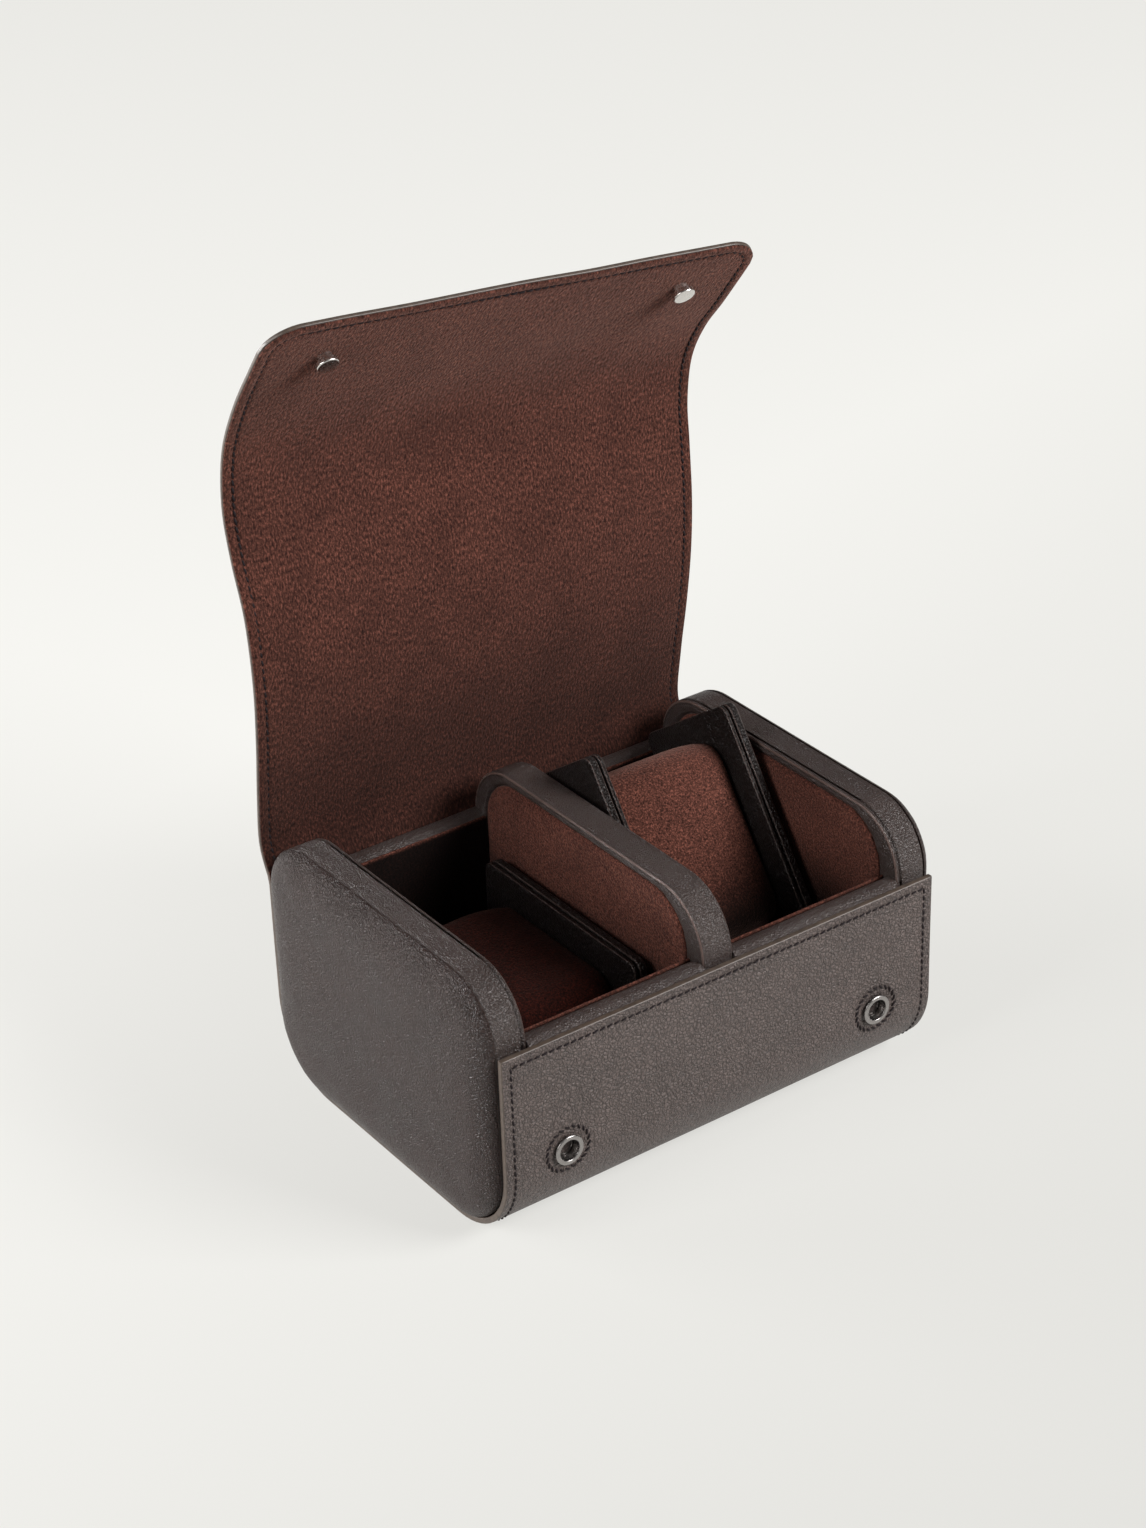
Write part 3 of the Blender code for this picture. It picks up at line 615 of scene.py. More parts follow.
def leather(name, colour, roughness, grain, depth, from_uv=False, crease=0.35, gloss_level=0.5,
            wrinkle=0.0):
    """Grained leather: pebbles, the fine creases between them, and a slow change of tone.

    wrinkle is the depth of small wrinkles that run across a rim.
    """
    material, tree, shader = new_material(name)
    place = place_node(tree, from_uv)
    wobble = read_at(place, tree, NOISE, Scale=0.22 / grain, Detail=2.0)
    warp = node(tree, "ShaderNodeMixRGB", {"blend_type": "LINEAR_LIGHT"}, Fac=grain * 1.1)
    link(tree, *place, warp, "Color1")
    link(tree, wobble, "Color", warp, "Color2")
    warped = (warp, "Color")
    pebbles = read_at(
        warped, tree, CELLS, {"feature": "SMOOTH_F1"}, Scale=1 / grain, Smoothness=0.3, Randomness=1.0
    )
    creases = read_at(warped, tree, CELLS, {"feature": "DISTANCE_TO_EDGE"}, Scale=0.62 / grain)
    crease_line = ramp(tree, [(0.0, (0, 0, 0, 1)), (0.09, (0.8, 0.8, 0.8, 1)), (0.3, (1, 1, 1, 1))])
    link(tree, creases, "Distance", crease_line, "Fac")
    pores = read_at(place, tree, NOISE, Scale=2.4 / grain, Detail=3.0, Roughness=0.6)
    height = scaled_sum(tree, (pebbles, "Distance"), -1.3, (crease_line, "Color"))
    fine = scaled_sum(tree, (pores, "Fac"), 0.5, (height, 0))
    waves = read_at(place, tree, NOISE, Scale=70.0, Detail=3.0, Roughness=0.55)
    stretched = read_at(place, tree, "ShaderNodeMapping", Scale=(0.22, 1.0, 1.0))
    wrinkles = read_at(
        (stretched, "Vector"), tree, NOISE, Scale=520.0, Detail=3.0, Roughness=0.6, Distortion=0.8
    )
    soft = bumped(tree, waves, "Fac", crease, 0.0011)
    across = bumped(tree, wrinkles, "Fac", 1.0 if wrinkle else 0.0, wrinkle, soft)
    link(tree, bumped(tree, fine, 0, 0.9, depth, across), "Normal", shader, "Normal")
    tone = read_at(place, tree, NOISE, Scale=38.0, Detail=4.0, Roughness=0.6)
    tones = ramp(
        tree,
        [(0.30, shade_of(colour, 0.86)), (0.52, shade_of(colour, 1.0)), (0.72, shade_of(colour, 1.15))],
    )
    link(tree, tone, "Fac", tones, "Fac")
    pit_tone = ramp(tree, [(0.0, (0.45, 0.43, 0.42, 1)), (0.16, (1, 1, 1, 1))])
    link(tree, creases, "Distance", pit_tone, "Fac")
    pits = multiplied(tree, (tones, "Color"), (pit_tone, "Color"), 0.8)
    link(tree, pits, "Color", shader, "Base Color")
    uneven_gloss(tree, tone, roughness, shader)
    shader.inputs["Specular IOR Level"].default_value = gloss_level
    return material


def suede(name, colour, from_uv=False, streak=1.0, fade=("Y", 0.0, 1.0, 1.0), sheen=0.22):
    """Short-napped suede: pale hair tips over dark pits, and soft brushed patches.

    streak stretches the nap along the piece. fade is an axis, two places on it, and the share
    of the colour that is left at the first: painted shade, darkest at the first place and gone by the
    second.
    """
    material, tree, shader = new_material(name)
    place = place_node(tree, from_uv)
    scaled = (read_at(place, tree, "ShaderNodeMapping", Scale=(1.0, 1.0 / streak, 1.0)), "Vector")
    nap = read_at(scaled, tree, NOISE, Scale=1350.0, Detail=4.0, Roughness=0.7, Distortion=0.3)
    tufts = read_at(scaled, tree, CELLS, {"feature": "F1"}, Scale=900.0, Randomness=1.0)
    brushed = read_at(place, tree, NOISE, Scale=42.0, Detail=4.0, Roughness=0.55, Distortion=0.6)
    tips = ((0.36, 0.20), (0.46, 0.80), (0.54, 1.25), (0.64, 2.8))
    speckle = ramp(tree, [(at, shade_of(colour, factor)) for at, factor in tips])
    link(tree, nap, "Fac", speckle, "Fac")
    patches = ramp(
        tree, [(0.34, (0.84, 0.83, 0.83, 1)), (0.52, (1.0, 1.0, 1.0, 1)), (0.68, (1.13, 1.12, 1.11, 1))]
    )
    link(tree, brushed, "Fac", patches, "Fac")
    mixed = multiplied(tree, (speckle, "Color"), (patches, "Color"))
    # Painted shade: the colour is multiplied down along the fade's axis, to its share at the first place
    parts = read_at(place, tree, "ShaderNodeSeparateXYZ")
    axis, start, end, share = fade
    painted_shade = node(
        tree, "ShaderNodeMapRange", {"interpolation_type": "SMOOTHSTEP"},
        From_Min=start, From_Max=end, To_Min=share,
    )
    link(tree, parts, axis, painted_shade, "Value")
    finish = multiplied(tree, (mixed, "Color"), (painted_shade, "Result"))
    link(tree, finish, "Color", shader, "Base Color")
    relief = scaled_sum(tree, (tufts, "Distance"), -0.6, (nap, "Fac"))
    link(tree, bumped(tree, relief, 0, 0.9, 0.0005), "Normal", shader, "Normal")
    shader.inputs["Roughness"].default_value = 0.96
    shader.inputs["Specular IOR Level"].default_value = 0.12
    shader.inputs["Sheen Weight"].default_value = sheen
    shader.inputs["Sheen Roughness"].default_value = 0.42
    shader.inputs["Sheen Tint"].default_value = (0.75, 0.45, 0.38, 1.0)
    return material


def toned(tree, shader, texture, colour, low, high):
    """Base colour from a texture, between two (place, factor) stops of one colour."""
    tone = ramp(tree, [(at, shade_of(colour, factor)) for at, factor in (low, high)])
    link(tree, texture, "Fac", tone, "Fac")
    link(tree, tone, "Color", shader, "Base Color")


def painted_edge(name, colour):
    """Edge paint: smooth and slightly rounded, with small runs in its tone."""
    material, tree, shader = new_material(name)
    runs = read_at(place_node(tree, False), tree, NOISE, Scale=420.0, Detail=3.0)
    toned(tree, shader, runs, colour, (0.3, 0.72), (0.7, 1.3))
    link(tree, bumped(tree, runs, "Fac", 0.35, 0.0002), "Normal", shader, "Normal")
    shader.inputs["Roughness"].default_value = 0.42
    return material


def thread(name, colour):
    """Twisted thread with a waxed surface."""
    material, tree, shader = new_material(name)
    twist = read_at(
        place_node(tree, False), tree, "ShaderNodeTexWave",
        {"wave_type": "BANDS", "bands_direction": "DIAGONAL"}, Scale=1500.0, Distortion=1.5,
    )
    toned(tree, shader, twist, colour, (0.2, 0.6), (0.8, 1.4))
    link(tree, bumped(tree, twist, "Fac", 0.5, 0.0001), "Normal", shader, "Normal")
    shader.inputs["Roughness"].default_value = 0.6
    shader.inputs["Specular IOR Level"].default_value = 0.2
    return material


def nickel(name, colour, roughness):
    """Polished nickel with faint turning marks."""
    material, tree, shader = new_material(name)
    marks = read_at(place_node(tree, False), tree, NOISE, Scale=900.0, Detail=3.0)
    uneven_gloss(tree, marks, roughness, shader)
    toned(tree, shader, marks, colour, (0.3, 0.9), (0.7, 1.06))
    shader.inputs["Metallic"].default_value = 1.0
    return material


FINISHES = {}


def make_finishes():
    """All finishes, by the names that the pieces take them by."""
    c = colours()
    grain = sizes().grain_size
    # Painted shade: the flap's suede is darker at its root by the case and lightens up the flap
    flap_root_shade = ("Y", CASE_LENGTH + 0.004, CASE_LENGTH + 0.11, 0.52)
    flap_colour = tuple(value * 0.70 for value in c.suede)
    # Painted shade: a darker, redder copy of the suede, with less sheen, for the pillow deep in the left
    # bay
    shaded_pillow_colour = (c.suede[0] * 0.24, c.suede[1] * 0.12, c.suede[2] * 0.1)
    # Painted shade: the tray linings fall to near black just below the rim, with almost no sheen
    bay_shade_fade = ("Z", TRAY_TOP - 0.0026, TRAY_TOP - 0.0004, 0.05)
    # Painted highlight: the panels' creased edges and beads take the rim leather three times lighter
    bead_highlight_colour = tuple(value * 3.0 for value in c.rim)
    # Painted highlight: the cushion plates' rounded edges take the plate leather six times lighter
    plate_edge_highlight_colour = tuple(value * 6 for value in c.plate)
    FINISHES.update(
        cover=leather("cover_leather", c.cover, 0.46, grain, 0.0006, from_uv=True, crease=0.30),
        pad=leather("pad_leather", c.pad, 0.36, grain * 0.8, 0.0005, crease=0.22, gloss_level=0.30),
        rim=leather(
            "rim_leather", c.rim, 0.35, grain * 0.65, 0.0003, crease=0.35, gloss_level=0.65,
            wrinkle=0.0003,
        ),
        bead=leather("bead_highlight_leather", bead_highlight_colour, 0.28, grain * 0.5, 0.0001),
        plate_edge=leather("plate_edge_highlight_leather", plate_edge_highlight_colour, 0.3, grain, 0.0001),
        plate=leather("plate_leather", c.plate, 0.36, grain, 0.0005, crease=0.20, gloss_level=0.30),
        # Painted shade: the suede of the insets and the right pillow darkens low in the bays
        suede=suede("suede", c.suede, fade=("Z", *BAY_SHADE_HEIGHTS, 0.05)),
        deep_suede=suede("deep_suede", shaded_pillow_colour, sheen=0.06),
        bay_suede=suede("bay_suede", c.suede, fade=bay_shade_fade, sheen=0.03),
        flap_suede=suede("flap_suede", flap_colour, from_uv=True, streak=2.2, fade=flap_root_shade),
        edge=painted_edge("painted_edge", c.edge),
        thread=thread("thread", (0.009, 0.005, 0.006)),
        nickel=nickel("nickel", (0.72, 0.69, 0.66), 0.24),
        dark_nickel=nickel("dark_nickel", (0.34, 0.32, 0.31), 0.27),
        spring=nickel("spring_wire", (0.10, 0.095, 0.09), 0.32),
    )


# The cover sheet


def finer_near(start, end, step, places, width, fine):
    """Sorted values from start to end, a step apart, and closer together near some places."""
    values = [start]
    while values[-1] < end - 1e-9:
        here = values[-1]
        near = min((abs(here - place) for place in places), default=1.0)
        share = min(max((near - width) / width, 0.0), 1.0)
        values.append(min(here + fine + (step - fine) * share, end))
    if values[-1] - values[-2] < fine * 0.4:
        values.pop(-2)
    return values


def sheet_columns(seam, with_sockets):
    """X of the sheet's columns, close together at the seams and at the sockets."""
    places = [HALF_WIDTH - seam]
    edge = [HALF_WIDTH - d for d in (0.0, 0.0008, 0.0018)]
    if with_sockets:
        half = finer_near(0.0, HALF_WIDTH - 0.0026, 0.0042, places + [SNAP_X], 0.0115, 0.0011)
    else:
        half = finer_near(0.0, HALF_WIDTH - 0.0026, 0.0042, places, 0.0016, 0.0005)
    half = [value for value in half if value < HALF_WIDTH - 0.0022]
    border = finer_near(HALF_WIDTH - 0.0062, HALF_WIDTH - 0.0024, 0.0005, [], 1, 0.0005)
    half = sorted(set(half + border))
    kept = [half[0]]
    for value in half[1:]:
        if value - kept[-1] > 0.00035:
            kept.append(value)
    half = kept + edge[::-1]
    return np.array([-x for x in reversed(half[1:])] + half)


def grid_sheet(name, columns, rows, place, thickness, materials):
    """A closed sheet: an outer face, an inner face and the edge between them.

    place(x, row) gives the outer points, the outward normals and the flat coordinates.
    """
    xs, ts = np.meshgrid(columns, rows)
    outer, normals, flat = place(xs, ts)
    thick = thickness(xs, ts)[..., None]
    lip = np.minimum(thick * 0.28, 0.0005)
    across = len(columns)
    count = across * len(rows)
    inner = outer - normals * thick
    points = np.concatenate([outer.reshape(-1, 3), inner.reshape(-1, 3)])
    faces = []
    kinds = []
    for i in range(len(rows) - 1):
        for k in range(across - 1):
            a = i * across + k
            faces.append((a, a + 1, a + across + 1, a + across))
            kinds.append(0)
            faces.append((count + a, count + a + across, count + a + across + 1, count + a + 1))
            kinds.append(1)
    border = (
        list(range(across))
        + [i * across + across - 1 for i in range(1, len(rows))]
        + [(len(rows) - 1) * across + k for k in range(across - 2, -1, -1)]
        + [i * across for i in range(len(rows) - 2, 0, -1)]
    )
    outer_flat, normals_flat = outer.reshape(-1, 3), normals.reshape(-1, 3)
    lips = lip.reshape(-1)
    thick_flat = thick.reshape(-1)
    loop = np.array(border)
    ahead = outer_flat[np.roll(loop, -1)] - outer_flat[np.roll(loop, 1)]
    away = np.cross(ahead, normals_flat[loop])
    away /= np.linalg.norm(away, axis=1, keepdims=True)
    middle = outer_flat.mean(axis=0)
    if ((outer_flat[loop] - middle) * away).sum() < 0:
        away = -away
    steps = ((0.35, 0.75), (0.9, 1.0))
    base = len(points)
    downs = [(lips[loop] * depth, reach) for depth, reach in steps]
    downs += [(thick_flat[loop] - lips[loop] * depth, reach) for depth, reach in reversed(steps)]
    rim, rim_out, spread_out = outer_flat[loop], normals_flat[loop], away * (lips[loop] * 0.6)[:, None]
    extra = [rim - rim_out * down[:, None] + spread_out * reach for down, reach in downs]
    points = np.concatenate([points] + extra)
    strips = [loop] + [base + len(loop) * i + np.arange(len(loop)) for i in range(4)]
    strips.append(count + loop)
    for first, second in zip(strips, strips[1:]):
        for i in range(len(loop)):
            n = (i + 1) % len(loop)
            faces.append((int(first[i]), int(first[n]), int(second[n]), int(second[i])))
            kinds.append(2)
    made = mesh_piece(name, points, faces, materials, 50)
    mesh = made.data
    mesh.polygons.foreach_set("material_index", np.array(kinds, np.int32))
    flat_points = np.concatenate(
        [flat.reshape(-1, 2), flat.reshape(-1, 2)] + [flat.reshape(-1, 2)[loop]] * 4
    )
    uv = mesh.uv_layers.new(name="flat")
    corner_points = np.empty(len(mesh.loops), np.int32)
    mesh.loops.foreach_get("vertex_index", corner_points)
    uv.data.foreach_set("uv", flat_points[corner_points].astype(np.float32).ravel())
    return made


def fitted_rows(x, t):
    """Draws rows in towards the flap's top so that its corners come out round."""
    side = HALF_WIDTH - np.abs(x)
    drop = FLAP_CORNER - np.sqrt(
        np.clip(FLAP_CORNER**2 - np.clip(FLAP_CORNER - side, 0, None) ** 2, 0, None)
    )
    share = np.clip((t - (SHEET_LENGTH - 0.045)) / 0.045, 0, 1)
    return t - drop * share**2


def snap_distance(x, t):
    """Distance from the nearer socket's middle, on the front panel."""
    return np.hypot(np.abs(x) - SNAP_X, t - (COVER_TOP - SNAP_Z))


def sheet_wave(x, t):
    """How far the sheet lies in from its smooth shape: a little on the case, more on the flap."""
    wave = lumpy(np.stack([x, t, t * 0], -1).reshape(-1, 3), 0.034, 2).reshape(x.shape)
    free = np.clip((t - CASE_LENGTH) / 0.06, 0, 1)
    return wave * (0.00012 + 0.00050 * free)


def groove(distance, at, width, depth):
    """A soft groove at a distance from an edge."""
    return depth * np.exp(-(((distance - at) / width) ** 2))


def make_cover_sheet():
    """The leather from the front panel round to the flap's end, with its grooves and holes."""
    seam = sizes().stitch_inset
    ring = sizes().snap_seam_radius
    columns = sheet_columns(seam, True)
    snap_t = COVER_TOP - SNAP_Z
    front = finer_near(0.0022, snap_t + 0.0125, 0.003, [snap_t], 0.0115, 0.0011)
    front = [0.0, 0.0008, 0.0016] + finer_near(0.0022, 0.0058, 0.0005, [], 1, 0.0005) + [
        v for v in front if v > 0.0064
    ]
    rest = finer_near(front[-1], SHEET_LENGTH - 0.0066, 0.0034, [], 1, 0.0034)[1:]
    ends = finer_near(SHEET_LENGTH - 0.0058, SHEET_LENGTH - 0.0022, 0.0005, [], 1, 0.0005)
    rows = np.array(front + rest + ends + [SHEET_LENGTH - d for d in (0.0016, 0.0008, 0.0)])

    def place(x, t):
        t = fitted_rows(x, t)
        points, _, _, out = sheet_frames(x, t)
        edge = sheet_edge_distance(x, t)
        sink = groove(edge, seam, 0.00075, 0.00026)
        sink += 0.00012 * np.exp(-edge / 0.0012)
        near = snap_distance(x, t)
        sink += 0.00055 / (1 + np.exp((near - 0.0082) / 0.0009))
        sink += groove(near, ring, 0.0007, 0.00024)
        sink += sheet_wave(x, t)
        return points - out * sink[..., None], out, np.stack([x, t], -1)

    def thickness(x, t):
        onto_flap = np.clip((t - CASE_LENGTH + 0.004) / 0.010, 0, 1)
        return COVER_THICKNESS + (FLAP_LEATHER - COVER_THICKNESS) * onto_flap

    sheet = grid_sheet(
        "cover_sheet", columns, rows, place, thickness,
        [FINISHES["cover"], FINISHES["cover"], FINISHES["edge"]],
    )
    cut_holes(sheet, snap_frames(), 0.0053)
    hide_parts("cover_leather", "flap_leather")
    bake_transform(sheet)
    return sheet


def cut_holes(sheet, frames, radius, depth=0.006):
    """Cuts a round hole through the sheet at each frame."""
    cutters = []
    for matrix in frames:
        shape = bmesh.new()
        bmesh.ops.create_cone(
            shape, cap_ends=True, segments=40, radius1=radius, radius2=radius, depth=2 * depth
        )
        bmesh.ops.transform(shape, matrix=matrix, verts=shape.verts)
        mesh = bpy.data.meshes.new("hole")
        shape.to_mesh(mesh)
        shape.free()
        cutter = bpy.data.objects.new("hole", mesh)
        bpy.context.scene.collection.objects.link(cutter)
        boolean = sheet.modifiers.new("Hole", "BOOLEAN")
        boolean.operation = "DIFFERENCE"
        boolean.solver = "EXACT"
        boolean.object = cutter
        cutters.append(cutter)
    baked(sheet)
    for cutter in cutters:
        bpy.data.objects.remove(cutter, do_unlink=True)


def snap_frames():
    """The sockets' frames on the front panel, with Z to the front."""
    forward = Matrix.Rotation(math.pi / 2, 4, "X")
    return [Matrix.Translation((sign * SNAP_X, -HALF_DEPTH, SNAP_Z)) @ forward for _, sign in SIDES]


def flap_frame(x, s, depth):
    """A frame at a depth inside the flap, whose Z points to the suede side."""
    place, across, ahead, out = sheet_frames(np.array(x), np.array(CASE_LENGTH + s))
    matrix = Matrix((across, ahead, -out)).transposed().to_4x4()
    matrix.translation = Vector(place - out * depth)
    return matrix


def make_flap_suede():
    """The flap's suede face, a little puffed between its seam and its edge."""
    seam = sizes().stitch_inset
    columns = sheet_columns(seam, False)
    first = CASE_LENGTH - 0.0008
    body = finer_near(first, SHEET_LENGTH - 0.0066, 0.0032, [], 1, 0.0032)
    ends = finer_near(SHEET_LENGTH - 0.0058, SHEET_LENGTH - 0.0022, 0.0005, [], 1, 0.0005)
    rows = np.array(body + ends + [SHEET_LENGTH - d for d in (0.0016, 0.0008, 0.0)])

    def place(x, t):
        t = fitted_rows(x, t)
        t = np.maximum(t, CASE_LENGTH - 0.0008)
        points, _, _, out = sheet_frames(x, t)
        edge = sheet_edge_distance(x, t)
        edge = np.where(t < CASE_LENGTH + 0.02, np.minimum(edge, HALF_WIDTH - np.abs(x)), edge)
        rise = 0.00022 * np.clip(edge / 0.0015, 0, 1) * np.exp(-(((edge - 0.0019) / 0.0014) ** 2))
        sink = groove(edge, seam, 0.0007, 0.00030)
        depth = SUEDE_DEPTH + sheet_wave(x, t)
        top = points - out * (depth + FLAP_SUEDE + rise - sink)[..., None]
        return top, -out, np.stack([x, t], -1)

    def thickness(x, t):
        return np.full(x.shape, FLAP_SUEDE - 0.0001)

    sheet = grid_sheet(
        "flap_suede", columns, rows, place, thickness,
        [FINISHES["flap_suede"], FINISHES["flap_suede"], FINISHES["flap_suede"]],
    )
    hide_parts("flap_lining")
    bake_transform(sheet)
    return sheet


# Sewing


def stitch_points(centre, ahead, side, out, length, thick, slant):
    """One stitch: a short bowed thread that dives into the leather at both ends."""
    rings = []
    count = 6
    ahead_slanted = ahead * math.cos(slant) + side * math.sin(slant)
    side_slanted = side * math.cos(slant) - ahead * math.sin(slant)
    for i in range(count + 1):
        u = i / count * 2 - 1
        bow = (1 - u * u) * thick * 0.55 - thick * 0.42
        width = thick / 2 * math.sqrt(max(1 - abs(u) ** 3.5, 0.04))
        middle = centre + ahead_slanted * (u * length / 2) + out * bow
        ring = []
        for k in range(8):
            angle = 2 * math.pi * k / 8
            ring.append(middle + (side_slanted * math.cos(angle) + out * math.sin(angle)) * width)
        rings.append(ring)
    return rings


def sew(name, seams):
    """One mesh of stitches along (slant in degrees, [(place, ahead, out), ...]) seams."""
    thick = sizes().thread_thickness
    length = sizes().stitch_pitch
    points = []
    faces = []
    for slant, seam in seams:
        for place, ahead, out in seam:
            side = np.cross(out, ahead)
            rings = stitch_points(place, ahead, side, out, length, thick, math.radians(slant))
            start = len(points)
            for ring in rings:
                points.extend(ring)
            closed_faces = ring_faces(len(rings), len(rings[0]))
            faces += [tuple(start + i for i in face) for face in closed_faces]
    made = mesh_piece(name, points, faces, [FINISHES["thread"]], 60)
    return made


def flat_seam(path, pitch):
    """(x, t) places a pitch apart along a flat path, with the way ahead at each."""
    path = np.array(path)
    steps = np.hypot(*np.diff(path, axis=0).T)
    lengths = np.concatenate(([0], np.cumsum(steps)))
    count = max(int(round(lengths[-1] / pitch)), 1)
    wanted = (np.arange(count) + 0.5) * lengths[-1] / count
    places = np.stack([np.interp(wanted, lengths, path[:, k]) for k in (0, 1)], -1)
    index = np.clip(np.searchsorted(lengths, wanted) - 1, 0, len(steps) - 1)
    ways = np.diff(path, axis=0)[index] / steps[index][:, None]
    return places, ways


def sheet_seam(path, pitch, depth, inside=False):
    """The seam's places on the sheet, sunk by a depth; inside is the suede face."""
    places, ways = flat_seam(path, pitch)
    points, across, ahead, out = sheet_frames(places[:, 0], places[:, 1])
    way = across * ways[:, :1] + ahead * ways[:, 1:]
    points = points - out * depth
    face = -out if inside else out
    return list(zip(points, way, face))


def flap_top_path(inset, start):
    """The seam's path on the flap: up one side, round the top and down the other side."""
    r = FLAP_CORNER - inset
    side = HALF_WIDTH - inset
    top = SHEET_LENGTH - inset
    left = [(-side, start)] + arc((-side + r, top - r), r, 180, 90, 10)
    right = arc((side - r, top - r), r, 90, 0, 10) + [(side, start)]
    return left + right


SOCKET_STITCHES = 22


def make_stitching():
    """The seams outside on the leather, with the sockets' rings, and the seam on the suede."""
    inset = sizes().stitch_inset
    pitch = sizes().stitch_pitch
    side = HALF_WIDTH - inset
    sunk = 0.00022
    case_corners = [(-side, CASE_LENGTH), (-side, inset), (side, inset), (side, CASE_LENGTH)]
    outside = []
    for corners in (case_corners, flap_top_path(inset, CASE_LENGTH)):
        outside += sheet_seam(subdivided(corners, 0.004), pitch, sunk)
    radius = sizes().snap_seam_radius
    ring_pitch = radius * 2 * math.pi / SOCKET_STITCHES
    rings = []
    for _, sign in SIDES:
        ring = arc((sign * SNAP_X, COVER_TOP - SNAP_Z), radius, 0, 360, 60)
        rings += sheet_seam(ring, ring_pitch, sunk)
    cover = sew("cover_stitching", [(12, outside), (-34, rings)])
    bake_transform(cover)
    depth = SUEDE_DEPTH + FLAP_SUEDE - 0.00028
    inner_path = subdivided(flap_top_path(inset, CASE_LENGTH + 0.003), 0.004)
    inner = sheet_seam(inner_path, pitch, depth, inside=True)
    lining = sew("flap_stitching", [(12, inner)])
    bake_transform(lining)


def subdivided(path, step):
    """A path with points about a step apart between its corners."""
    points = []
    for start, end in zip(path, path[1:]):
        points += [start] + spread(start, end, step)
    return points + [path[-1]]


# Panels, insets and pads


def gathered(ring, amount, seed):
    """Small pleats across a border, deepest round the corners."""
    count = len(ring)
    pleats = np.array([
        noise.noise(Vector((k * 0.85, seed, 0.0))) + 0.6 * noise.noise(Vector((k * 1.9, seed, 4.0)))
        for k in range(count)
    ])
    ahead = np.roll(ring, -1, axis=0) - ring
    before = ring - np.roll(ring, 1, axis=0)
    turn = np.abs(
        np.arctan2(ahead[:, 2], ahead[:, 1]) - np.arctan2(before[:, 2], before[:, 1])
    )
    turn = np.minimum(turn, 2 * math.pi - turn)
    corner = np.clip(turn / 0.08, 0, 1)
    corner = np.convolve(np.concatenate([corner[-3:], corner, corner[:3]]), np.ones(7) / 7, "valid")
    return pleats * amount * (0.25 + 0.75 * corner)


# The rings of a face's border that lie on its bead, whose bands take a lighter leather that paints the
# bead's highlight
BEAD_RINGS = (4, 7)


def face_border(face_x, outward, seed):
    """Rings over a panel's creased edge, across its padded border and down round the inset."""
    bead = 0.0010
    rings = [(0.0024, panel_outline(0.0), 0.0), (0.0019, panel_outline(0.00006), 0.0)]
    rings.append((0.0015, panel_outline(0.00030), 0.0))
    for turn in np.radians(np.linspace(20, 90, 5)):
        inset = bead * (1 - math.cos(turn))
        rings.append((bead * (1 - math.sin(turn)), panel_outline(inset), 0.0))
    rings.append((0.00006, panel_outline(0.0012), 0.0))
    outer, inner = panel_outline(0.0015), inset_outline(-0.0006)
    rings.append((0.00034, outer, 0.0))
    for share, puff in ((0.12, 0.2), (0.3, 0.8), (0.5, 1.0), (0.7, 0.85), (0.86, 0.45), (0.95, 0.05)):
        outline = outer * (1 - share) + inner * share
        rings.append((0.0001 - 0.0004 * puff, outline, 1.0 - abs(share - 0.6)))
    rings.append((0.00045, inner, 0.5))
    rings.append((0.0012, inset_outline(0.0), 0.0))
    made = []
    for back, outline, pleat in rings:
        ring = ring_at(face_x - outward * back, outline)
        if pleat:
            ring[:, 0] += outward * gathered(ring, 0.00045, seed) * pleat
        made.append(ring)
    return made


def make_end_panel(side, sign):
    """The board of one end: its smooth rim band, its rounded edge and its pleated border."""
    seam_x = sign * HALF_WIDTH
    inner_x = sign * (HALF_WIDTH - PANEL_THICKNESS)
    rings = []
    band = (
        (0.0, 0.0030), (0.0, 0.0009), (0.0004, 0.0003), (0.0011, 0.0), (0.003, 0.0), (0.006, 0.0),
        (0.009, 0.0), (0.012, 0.0),
    )
    rings += [ring_at(seam_x - sign * back, panel_outline(inset)) for back, inset in band]
    rings += face_border(inner_x, -sign, 3.0 + sign)
    first = len(band)
    # These bands take the lighter leather that paints the highlight on the creased edge and the bead
    bands = [1] + [first + k for k in range(*BEAD_RINGS)]
    board = loft("end_rim_" + side, rings, FINISHES["rim"], 40, FINISHES["bead"], bands)
    settle(board, "case", ["end_board_" + side])


def make_divider():
    """The board between the bays, with a bordered face on each side."""
    half = PANEL_THICKNESS / 2
    left = face_border(-half, -1, 7.0)
    right = face_border(half, 1, 9.0)
    rim = [ring_at(x, panel_outline(0.0)) for x in (-half * 0.25, half * 0.25)]
    rings = left[::-1] + rim + right
    last = len(rings) - 1
    first = len(rings) - len(right)
    # These bands take the lighter leather that paints the beads' highlight
    bands = [first + k for k in range(*BEAD_RINGS)]
    bands += [last - 1 - band for band in bands]
    board = loft("divider_rim", rings, FINISHES["rim"], 40, FINISHES["bead"], bands)
    settle(board, "case", ["divider_board"])


def make_inset(name, lining, floor_x, outward):
    """A suede inset: a thin padded panel with soft edges, seated in its recess."""
    rings = []
    depth = 0.0014
    steps = (
        (0.0, 0.0006), (0.0, 0.0001), (0.0005, 0.0), (0.0009, 0.0002), (0.0012, 0.0007),
        (depth, 0.0016), (depth + 0.0001, 0.004), (depth + 0.0002, 0.010), (depth + 0.0002, 0.020),
    )
    for k, (rise, inset) in enumerate(steps):
        ring = ring_at(floor_x + outward * rise, inset_outline(GAP + inset))
        if k > 3:
            ring[:, 0] += outward * 0.00018 * lumpy(ring, 0.012, k)
        rings.append(ring)
    settle(loft(name, rings, FINISHES["suede"]), "case", [lining])


